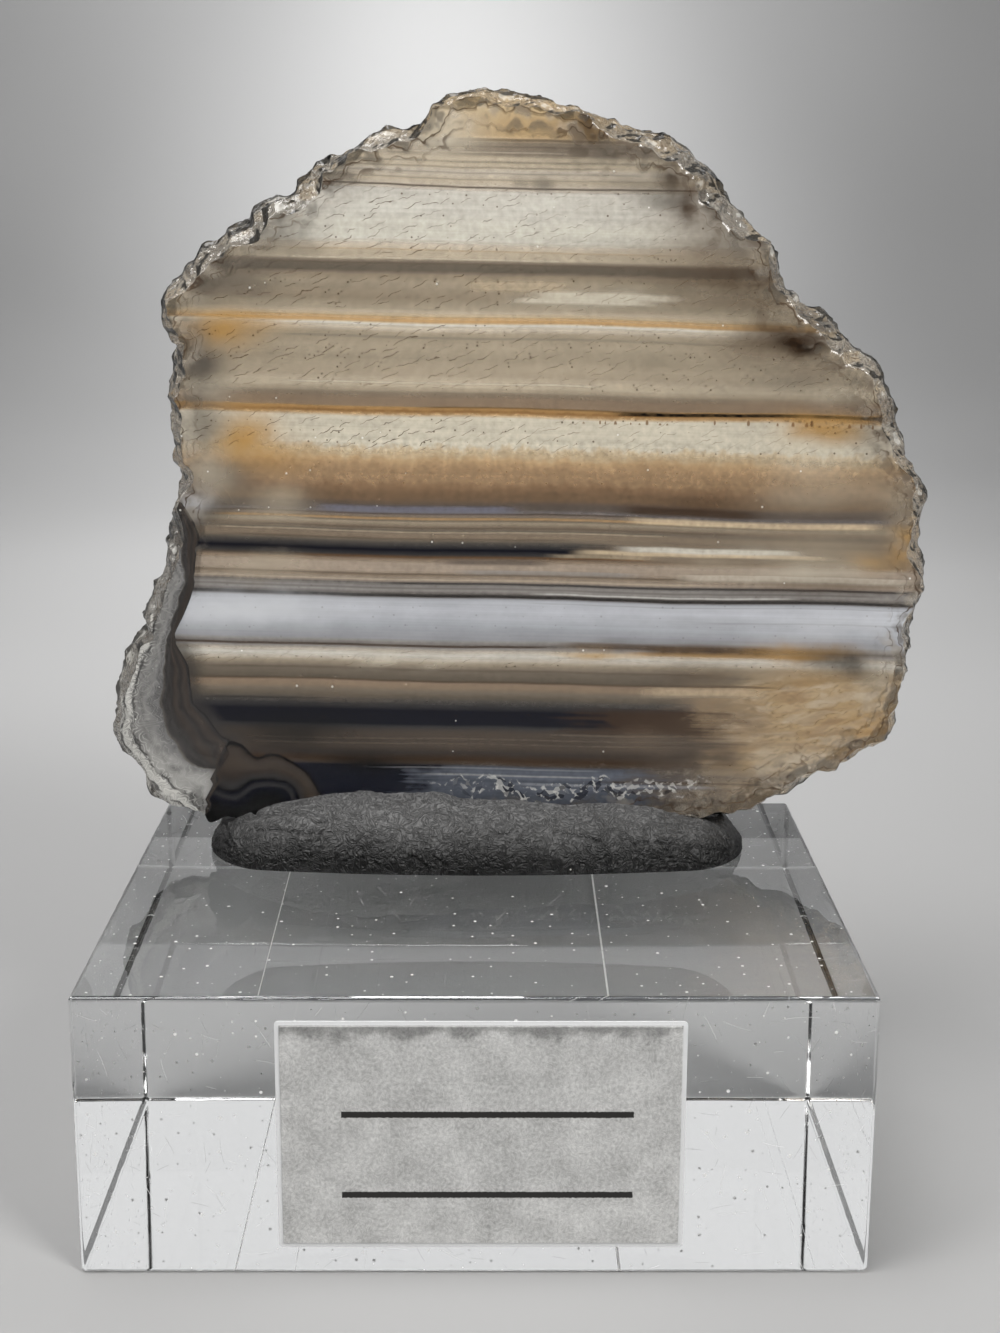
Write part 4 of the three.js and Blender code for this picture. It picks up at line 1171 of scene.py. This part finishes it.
def putty_piece(outline, table):
    """The putty roll, pressed up round the stone's lower edge; table is the height of the block's top."""
    random = np.random.default_rng(SEED + 1)
    x = -PUTTY_HALF_LENGTH * np.cos(math.pi * (np.arange(PUTTY_STATIONS) + 0.5) / PUTTY_STATIONS)
    into_end = np.clip(np.abs(x) - PUTTY_HALF_LENGTH + PUTTY_END_ROUND, 0, None) / PUTTY_END_ROUND
    end_round = np.sqrt(1 - into_end ** 2)
    half_depth = PUTTY_HALF_DEPTH * (1 - PUTTY_WAIST * (x / 13) ** 2) * end_round
    height = eased(PUTTY_CREST, x) * np.sqrt(end_round)
    half_slot = np.minimum((BACK_Y - FRONT_Y) / 2 + SLOT_CLEARANCE, 0.9 * half_depth)
    power = 2 / PUTTY_FULLNESS
    lip_angle = np.arccos((half_slot / half_depth) ** (1 / power))

    def sheet(angles):
        """Points of the surface at angles round each section: 0 low in front, half a turn low behind."""
        lump = sum(size * np.sin(along * x[:, None] + across * angles + phase)
                   for size, along, across, phase in PUTTY_LUMPS)
        swell = 1 + lump * np.sin(angles) * end_round[:, None] / PUTTY_HALF_DEPTH
        side = np.sign(np.cos(angles)) * np.abs(np.cos(angles)) ** power
        rise = np.clip(np.sin(angles), 0, None) ** power
        return np.stack([
            np.broadcast_to(x[:, None], angles.shape),
            PUTTY_CENTRE_Y - half_depth[:, None] * swell * side,
            table + height[:, None] * swell * rise], axis=2)

    pits = [(random.uniform(-15.5, 15.5), random.uniform(table + 0.3, table + 3.6),
             random.uniform(0.07, 0.16), random.uniform(0.03, 0.09)) for _ in range(PUTTY_PITS)]
    pits += DEEP_PITS
    front = sheet(lip_angle[:, None] * np.linspace(0, 1, PUTTY_FRONT_STEPS + 1)[None, :])
    front = kneaded(front, 1.0, pits)
    back = sheet(math.pi - lip_angle[:, None] * np.linspace(0, 1, PUTTY_BACK_STEPS + 1)[None, :])
    back = kneaded(back, -1.0, pits[:PUTTY_BACK_PITS])
    front[:, :, 1] = np.minimum(front[:, :, 1], (PUTTY_CENTRE_Y - half_slot)[:, None])
    back[:, :, 1] = np.maximum(back[:, :, 1], (PUTTY_CENTRE_Y + half_slot)[:, None])
    front[:, -1, 1] = PUTTY_CENTRE_Y - half_slot
    back[:, -1, 1] = PUTTY_CENTRE_Y + half_slot
    for grid in (front, back):
        grid[:, :, 2] = np.maximum(grid[:, :, 2], table)
        grid[:, 0, 2] = table
    back = back[:, ::-1]

    lowest = np.array([min(underside(outline, at), default=1e3) for at in x]) - SLOT_DEPTH_CLEARANCE
    front_wall = slot_wall(front[:, -1], lowest, table)
    back_wall = slot_wall(back[:, 0], lowest, table)[:, ::-1]
    share = np.linspace(0, 1, PUTTY_FLOOR_STEPS + 1)[None, 1:-1, None]
    bridge = front[:, -1:] * (1 - share) + back[:, :1] * share
    bulge = 0.25 * np.sin(math.pi * share[:, :, 0]) * np.minimum(1, half_depth / 2)[:, None]
    floor = bridge.copy()
    floor[:, :, 2] = np.minimum(bridge[:, :, 2] + bulge, np.maximum(lowest[:, None], table + 0.05))
    share = np.linspace(0, 1, PUTTY_UNDER_STEPS + 1)[None, 1:-1, None]
    under = back[:, -1:] * (1 - share) + front[:, :1] * share
    rings = np.concatenate([front, front_wall, floor, back_wall, back, under], axis=1)

    stations, around = rings.shape[:2]
    points = rings.reshape(-1, 3)
    ends = [rings[k].mean(axis=0) + [0.03 * way, 0, 0] for k, way in ((0, -1), (-1, 1))]
    faces = net_faces(stations, around, close_columns=True)
    first, last = len(points), len(points) + 1
    for k in range(around):
        faces.append((first, k, (k + 1) % around))
        end = (stations - 1) * around
        faces.append((last, end + (k + 1) % around, end + k))
    putty = mesh_object("rolled_putty", np.vstack([points, ends]), faces, putty_material(), sharp=70)
    return merge_doubles(putty, 0.002)


def underside(outline, x):
    """Heights where an upright line at x crosses the outline."""
    return crossings_at(outline[:, ::-1], x)


def slot_wall(lip, lowest, table):
    """Points from the putty's lip down to the stone's underside."""
    floor = np.minimum(lip[:, 2], np.maximum(lowest, table + 0.05))
    share = np.linspace(0, 1, PUTTY_WALL_STEPS + 1)[None, 1:]
    wall = np.repeat(lip[:, None, :], PUTTY_WALL_STEPS, axis=1)
    wall[:, :, 2] = lip[:, None, 2] * (1 - share) + floor[:, None] * share
    return wall


def merge_doubles(obj, distance):
    """Joins points that lie within a distance in mm, and turns all faces outwards."""
    shape = bmesh.new()
    shape.from_mesh(obj.data)
    bmesh.ops.remove_doubles(shape, verts=shape.verts, dist=distance * MM)
    bmesh.ops.dissolve_degenerate(shape, edges=shape.edges, dist=distance * 0.2 * MM)
    bmesh.ops.recalc_face_normals(shape, faces=shape.faces)
    shape.to_mesh(obj.data)
    shape.free()
    return obj


def putty_material():
    """Charcoal grey with wormy wrinkles and grit, lighter on its bumps and darker in its hollows as painted
    shade, lighter towards the top as painted light from above, and a few specks of dust.
    """
    material, nodes = material_nodes("charcoal_putty")
    x, y, z = nodes.place()
    spot = nodes.vector(x, y, z)
    clouds = nodes.noise(spot, scale=0.5, detail=2.0, dimensions="3D")
    grit = nodes.noise(spot, scale=3.6, detail=2.0, roughness=0.7, dimensions="3D")
    winding = nodes.noise(spot, scale=1.5, detail=1.0, distortion=1.0, dimensions="3D")
    worms = nodes.math("SINE", winding * 44.0)
    # Painted light: the putty is lighter towards the top, as if lit from above.
    painted_top_light = nodes.step(z + clouds * 1.5, 15.7, 18.2)
    # Painted shade: the tone follows the same grit and wrinkles as the bump, so it is darker in the hollows
    # and lighter on the bumps.
    tone = (painted_top_light * 0.1 + 0.007) * (worms * 0.35 + grit * 1.6 + 1.0)
    tone = nodes.larger(tone, 0.005)
    spots = nodes.cells(spot, scale=1.1, dimensions="3D")
    wide, lot, _ = nodes.chances(spots)
    dust = nodes.dot(spots, wide * 0.045 + 0.02, 1.15, 0.75) * nodes.less(lot, 0.3)
    nodes.finish({
        "Base Color": nodes.mix(dust, nodes.grey(tone), PUTTY_DUST),
        "Roughness": 0.46 + grit * 0.3,
        "IOR": PUTTY_IOR,
        "Normal": nodes.bump(grit + worms * 0.3, 0.8, 0.14),
    })
    return material


# The block
BLOCK_BEVEL = 0.25
BLOCK_BEVEL_STEPS = 5
BLOCK_GRID = 0.5
BLOCK_GUARD = 0.012
BEVEL_MIDDLE = 0.29
BLOCK_IOR = 1.49
BLOCK_COLOUR, BLOCK_MARKS = (0.985, 0.99, 0.99), (0.9, 0.9, 0.88)
BLOCK_ABSORPTION = ((0.90, 0.93, 0.95), 6.0)


def edge_marks(half):
    """Places of the grid lines along one side of the block: dense on its rounded edges, even between."""
    flat = half - BLOCK_BEVEL
    turn = [math.tan(math.pi / 4 * k / BLOCK_BEVEL_STEPS) for k in range(BLOCK_BEVEL_STEPS + 1)]
    outer = [flat + BLOCK_BEVEL * t for t in turn] + [flat - BLOCK_GUARD]
    inner = np.linspace(-(flat - BLOCK_GUARD), flat - BLOCK_GUARD, 2 + int(2 * half / BLOCK_GRID))
    return np.unique(np.round(np.r_[[-v for v in outer], inner, outer], 6))


def edge_nicks(points):
    """Small random chips along the edges."""
    worn = noise_at(points, 1.7, (5.0, 1.0, 3.0))
    sharp = noise_at(points, 4.5, (1.0, 8.0, 2.0))
    return 0.16 * np.clip(worn - 0.25, 0, 1) + 0.14 * np.clip(sharp - 0.35, 0, 1)


def block_piece():
    """The clear block: its six sides as grids, drawn in to rounded edges that are a little chipped."""
    low, high = np.array(BLOCK_LOW), np.array(BLOCK_HIGH)
    centre, half = (low + high) / 2, (high - low) / 2
    marks = [edge_marks(h) for h in half]
    points, faces = [], []
    for axis in range(3):
        first, second = (axis + 1) % 3, (axis + 2) % 3
        for side in (-1, 1):
            start = len(points)
            across, along = np.meshgrid(marks[first], marks[second], indexing="ij")
            sheet = np.zeros((*across.shape, 3))
            sheet[:, :, first], sheet[:, :, second] = across, along
            sheet[:, :, axis] = side * half[axis]
            points += list(sheet.reshape(-1, 3))
            for face in net_faces(*across.shape):
                face = tuple(start + corner for corner in face)
                faces.append(face if side > 0 else face[::-1])
    points = np.array(points)
    inner = np.clip(points, -(half - BLOCK_BEVEL), half - BLOCK_BEVEL)
    outwards = points - inner
    outwards /= np.linalg.norm(outwards, axis=1)[:, None]
    on_edge = np.clip(1 - np.abs(outwards).max(axis=1), 0, BEVEL_MIDDLE) / BEVEL_MIDDLE
    reach = BLOCK_BEVEL - edge_nicks(inner + centre) * on_edge
    block = mesh_object(
        "clear_block", centre + inner + outwards * reach[:, None], faces, block_material())
    return merge_doubles(block, 0.001)


def scratch_layer(nodes, across, along, cell, length, width, keep):
    """Straight hairline scratches at any angle, one in some of the cells of a jittered grid."""
    angle, size, lot, from_across, from_along = scattered(nodes, across, along, cell, cell)
    turn = angle * 6.3
    cosine, sine = nodes.math("COSINE", turn), nodes.math("SINE", turn)
    lengthways = from_across * cosine + from_along * sine
    sideways = from_along * cosine - from_across * sine + lengthways * lengthways * 0.08
    reach = length * (size * 0.8 + 0.2)
    line = streak(nodes, lengthways, sideways, reach, width * 1.6, width * 0.5)
    return line * nodes.less(lot, keep)


def block_material():
    """Clear acrylic that absorbs a little light, with scratches, dust and smears on its surface."""
    material, nodes = material_nodes("clear_acrylic")
    x, y, z = nodes.place()
    tops = nodes.math("GREATER_THAN", z, BLOCK_HIGH[2] - 0.2)
    sides = nodes.math("GREATER_THAN", nodes.absolute(x), BLOCK_HIGH[0] - 0.2)
    across, along = nodes.blend(sides, x, y), nodes.blend(tops, z, y)
    scratches = scratch_layer(nodes, across, along, 2.0, 1.3, 0.012, 0.6)
    spots = nodes.cells(nodes.vector(across * 0.95 + 7.0, along * 0.95))
    wide, lot, _ = nodes.chances(spots)
    dust = nodes.dot(spots, wide * wide * 0.075 + 0.02, 1.2, 0.75) * nodes.less(lot, 0.55)
    smears = nodes.noise(nodes.vector(across, along), scale=0.35, detail=0.0)
    marks = nodes.larger(dust * 0.85, scratches * 0.45)
    nodes.finish({
        "Base Color": nodes.mix(marks, BLOCK_COLOUR, BLOCK_MARKS),
        "Roughness": nodes.step(smears, 0.05, 0.3) * 0.035 + marks * 0.4 + 0.005,
        "IOR": BLOCK_IOR,
        "Transmission Weight": 1.0 - marks,
    }, absorption=BLOCK_ABSORPTION)
    return material


# The label: a thin film with a raised sheet on it, and two plain ruled lines
LABEL_EDGE = 0.24
LABEL_FILM = 0.06
LABEL_GAP = 0.01
LABEL_CORNER_STEPS = 6
LABEL_INK, LABEL_RIM_HIGHLIGHT = (0.012, 0.011, 0.010), (0.8, 0.81, 0.82)
RULED_LINES = [8.83, 4.45]
RULED_FROM, RULED_TO, RULED_HALF = -6.65, 7.9, 0.17


def label_piece(low, high):
    """The label as a stepped plate; each step is how far it lies inside the outline, its y, its corners."""
    face, back = low[1], high[1] - LABEL_GAP
    film = back - LABEL_FILM
    edge = LABEL_EDGE
    steps = [
        (0.0, back, 0.22), (0.0, film + 0.015, 0.22), (0.015, film, 0.21), (edge - 0.02, film, 0.14),
        (edge, film - 0.01, 0.12), (edge + 0.01, face + 0.02, 0.11), (edge + 0.03, face, 0.09),
    ]
    points = []
    for inset, y, radius in steps:
        x0, x1, z0, z1 = low[0] + inset, high[0] - inset, low[2] + inset, high[2] - inset
        corners = [(x0 + radius, z0 + radius, 180), (x1 - radius, z0 + radius, 270),
                   (x1 - radius, z1 - radius, 0), (x0 + radius, z1 - radius, 90)]
        for cx, cz, start in corners:
            for k in range(LABEL_CORNER_STEPS + 1):
                turn = math.radians(start + 90 * k / LABEL_CORNER_STEPS)
                points.append((cx + radius * math.cos(turn), y, cz + radius * math.sin(turn)))
    count = len(points) // len(steps)
    faces = [tuple(range(count))[::-1], tuple(len(points) - count + k for k in range(count))]
    faces += turned(net_faces(len(steps), count, close_columns=True))
    label = mesh_object("ruled_label", points, faces, label_material(low, high), sharp=30)
    return merge_doubles(label, 0.0005)


def label_material(low, high):
    """Mottled silver-grey under a clear film, worn along its top, with two ruled lines, and a plain border
    painted lighter as a painted highlight of light caught along the film's edge.
    """
    material, nodes = material_nodes("mottled_tape")
    x, _, z = nodes.place()
    flat = nodes.vector(x, z)
    blotches = nodes.noise(flat, scale=0.45, detail=5.0, roughness=0.62)
    grain = nodes.noise(flat, scale=5.0, detail=4.0, roughness=0.65)
    fibres = nodes.math("SINE", nodes.noise(flat, scale=1.3, detail=2.0, distortion=1.2) * 46.0)
    tone = blotches * 0.46 + grain * 0.52 + fibres * 0.05 + 0.62
    below_top = high[2] - LABEL_EDGE - z
    stain = nodes.step(below_top + blotches * 2.2, 0.75, 0.1)
    tone = tone * (1.0 - stain * 0.45)
    inset_x = nodes.smaller(x - low[0], high[0] - x)
    inset_z = nodes.smaller(z - low[2], high[2] - z)
    # The film's border: a real plain rim, painted lighter as a painted highlight of light caught along its
    # edge.
    rim = nodes.step(nodes.smaller(inset_x, inset_z), LABEL_EDGE + 0.01, LABEL_EDGE - 0.03)
    sheet = nodes.grey(tone)
    sheet = nodes.mix(1.0, sheet, (1.0, 1.0, 0.985), "MULTIPLY")
    ragged = nodes.noise(flat, scale=7.0, detail=2.0) * 0.07
    ink = 0.0
    for height in RULED_LINES:
        line = nodes.near(z + ragged, height, RULED_HALF - 0.02, 0.035)
        ink = nodes.larger(line, ink)
    ink = ink * nodes.between(x + ragged, RULED_FROM, RULED_TO, 0.03)
    printed = nodes.mix(ink, sheet, LABEL_INK)
    nodes.finish({
        "Base Color": nodes.mix(rim, printed, LABEL_RIM_HIGHLIGHT),
        "Metallic": (1.0 - ink) * (1.0 - rim) * 0.35,
        "Roughness": nodes.blend(rim, grain * 0.2 + 0.42, 0.12),
        "Normal": nodes.bump(grain + fibres * 0.4, 0.25, 0.03),
    })
    return material


# The studio's floor lies just under the block, with air between them
FLOOR = -0.06

# The bowl-shaped backdrop: how far the floor reaches, the radius of its curve, and its wall
FLOOR_REACH, BOWL_CURVE, BOWL_WALL = 260.0, 260.0, 420.0
BOWL_STEPS, BOWL_AROUND = 18, 96

# The studio's bowl is painted darker in front of the object, behind the camera, as painted shade for the
# unlit room there
BOWL_TONE, FRONT_SHADE_TONE, FRONT_FADE = 0.42, 0.08, (-40.0, -110.0)

WORLD_COLOUR, WORLD_STRENGTH = (0.92, 0.95, 1.0, 1.0), 0.25

# Soft lights: name, place, target, width, height, power, colour, spread in degrees
LIGHTS = [
    ("overhead", (-80, -60, 370), (0, 0, 20), 220, 220, 0.9, (1.0, 0.99, 0.98), 180),
    ("key", (-270, -160, 240), (0, 0, 30), 160, 160, 0.42, (1.0, 0.98, 0.96), 180),
    ("front_fill", (165, -185, 190), (0, 5, 28), 90, 120, 0.55, (1.0, 0.99, 0.97), 180),
    ("back_panel", (0, 430, 250), (0, 0, 10), 700, 160, 0.2, (1.0, 1.0, 1.0), 180),
    ("backdrop_strip", (-8, 250, 230), (-8, 270, 0), 30, 380, 0.13, (1.0, 1.0, 1.0), 60),
    ("wall_glow", (-8, 330, 300), (-14, 480, 95), 60, 40, 0.075, (1.0, 1.0, 1.0), 70),
]


def studio():
    """Pale bowl-shaped floor and backdrop, painted dark in front as painted shade, and soft lights."""
    profile = [(FLOOR_REACH * share, FLOOR) for share in (0.0, 0.3, 0.7)]
    for k in range(BOWL_STEPS + 1):
        angle = math.pi / 2 * k / BOWL_STEPS
        height = FLOOR + BOWL_CURVE * (1 - math.cos(angle))
        profile.append((FLOOR_REACH + BOWL_CURVE * math.sin(angle), height))
    profile.append((FLOOR_REACH + BOWL_CURVE, BOWL_CURVE + BOWL_WALL))
    turns = [2 * math.pi * k / BOWL_AROUND for k in range(BOWL_AROUND)]
    points = [(radius * math.cos(turn), radius * math.sin(turn), height)
              for radius, height in profile for turn in turns]
    material, nodes = material_nodes("pale_backdrop")
    x, y, _ = nodes.place()
    mottle = nodes.noise(nodes.vector(x, y), scale=0.02, detail=0.0)
    # Painted shade: the bowl's front, behind the camera, gets a dark tone.
    front = nodes.step(y, *FRONT_FADE)
    tone = mottle * 0.03 + nodes.blend(front, BOWL_TONE, FRONT_SHADE_TONE)
    nodes.finish({"Base Color": nodes.grey(tone), "Roughness": 0.75 + mottle * 0.1})
    faces = turned(net_faces(len(profile), BOWL_AROUND, close_columns=True))
    mesh_object("backdrop", points, faces, material)

    world = bpy.data.worlds.new("studio_air")
    bpy.context.scene.world = world
    world.use_nodes = True
    background = world.node_tree.nodes["Background"]
    background.inputs["Color"].default_value = WORLD_COLOUR
    background.inputs["Strength"].default_value = WORLD_STRENGTH

    for light in LIGHTS:
        area_light(*light)


def area_light(name, place, target, width, height, power, colour, spread):
    """A soft rectangular light at a place, facing a target."""
    light = bpy.data.lights.new(name, "AREA")
    light.shape, light.size, light.size_y = "RECTANGLE", width * MM, height * MM
    light.energy, light.color, light.spread = power, colour, math.radians(spread)
    obj = bpy.data.objects.new(name, light)
    obj.location = Vector(place) * MM
    obj.rotation_euler = (Vector(target) - Vector(place)).to_track_quat("-Z", "Y").to_euler()
    bpy.context.scene.collection.objects.link(obj)


def camera():
    """The camera at the photograph's place and angle."""
    pitch, yaw, roll = (math.radians(a) for a in (CAMERA_PITCH, CAMERA_YAW, CAMERA_ROLL))
    forward = Vector((math.sin(yaw) * math.cos(pitch), math.cos(yaw) * math.cos(pitch), -math.sin(pitch)))
    level_right = Vector((math.cos(yaw), -math.sin(yaw), 0))
    level_up = level_right.cross(forward)
    right = level_right * math.cos(roll) + level_up * math.sin(roll)
    up = level_up * math.cos(roll) - level_right * math.sin(roll)
    data = bpy.data.cameras.new("photo_camera")
    data.lens, data.shift_y = CAMERA_LENS, CAMERA_SHIFT_Y
    data.clip_start, data.clip_end = CAMERA_CLIP
    obj = bpy.data.objects.new("photo_camera", data)
    turn = Matrix((right, up, -forward)).transposed().to_4x4()
    obj.matrix_world = Matrix.Translation(Vector(CAMERA_PLACE) * MM) @ turn
    bpy.context.scene.collection.objects.link(obj)
    bpy.context.scene.camera = obj


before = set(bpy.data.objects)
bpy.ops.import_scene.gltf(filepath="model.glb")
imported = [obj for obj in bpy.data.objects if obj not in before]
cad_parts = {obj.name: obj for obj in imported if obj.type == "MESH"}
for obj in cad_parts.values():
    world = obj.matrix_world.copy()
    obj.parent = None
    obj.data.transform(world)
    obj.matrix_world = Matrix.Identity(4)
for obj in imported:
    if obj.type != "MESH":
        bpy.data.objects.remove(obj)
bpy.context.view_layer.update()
bpy.context.scene.view_settings.view_transform = "Standard"


def box_of(name):
    """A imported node's box, in millimetres."""
    return [[value / MM for value in corner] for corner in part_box(name)]


def placed(piece, node):
    """Tells the frame what a piece rides on and which node it replaces."""
    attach(piece, "root")
    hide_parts(node)


(_, FRONT_Y, _), (_, BACK_Y, _) = box_of("agate_slice")
BLOCK_LOW, BLOCK_HIGH = box_of("acrylic_block")

camera()
studio()

stone_outline, _ = resampled(np.array(STONE_OUTLINE), RIM_POINTS)
placed(stone_piece(), "agate_slice")
placed(putty_piece(stone_outline, BLOCK_HIGH[2]), "mounting_putty")
placed(block_piece(), "acrylic_block")
placed(label_piece(*box_of("label")), "label")
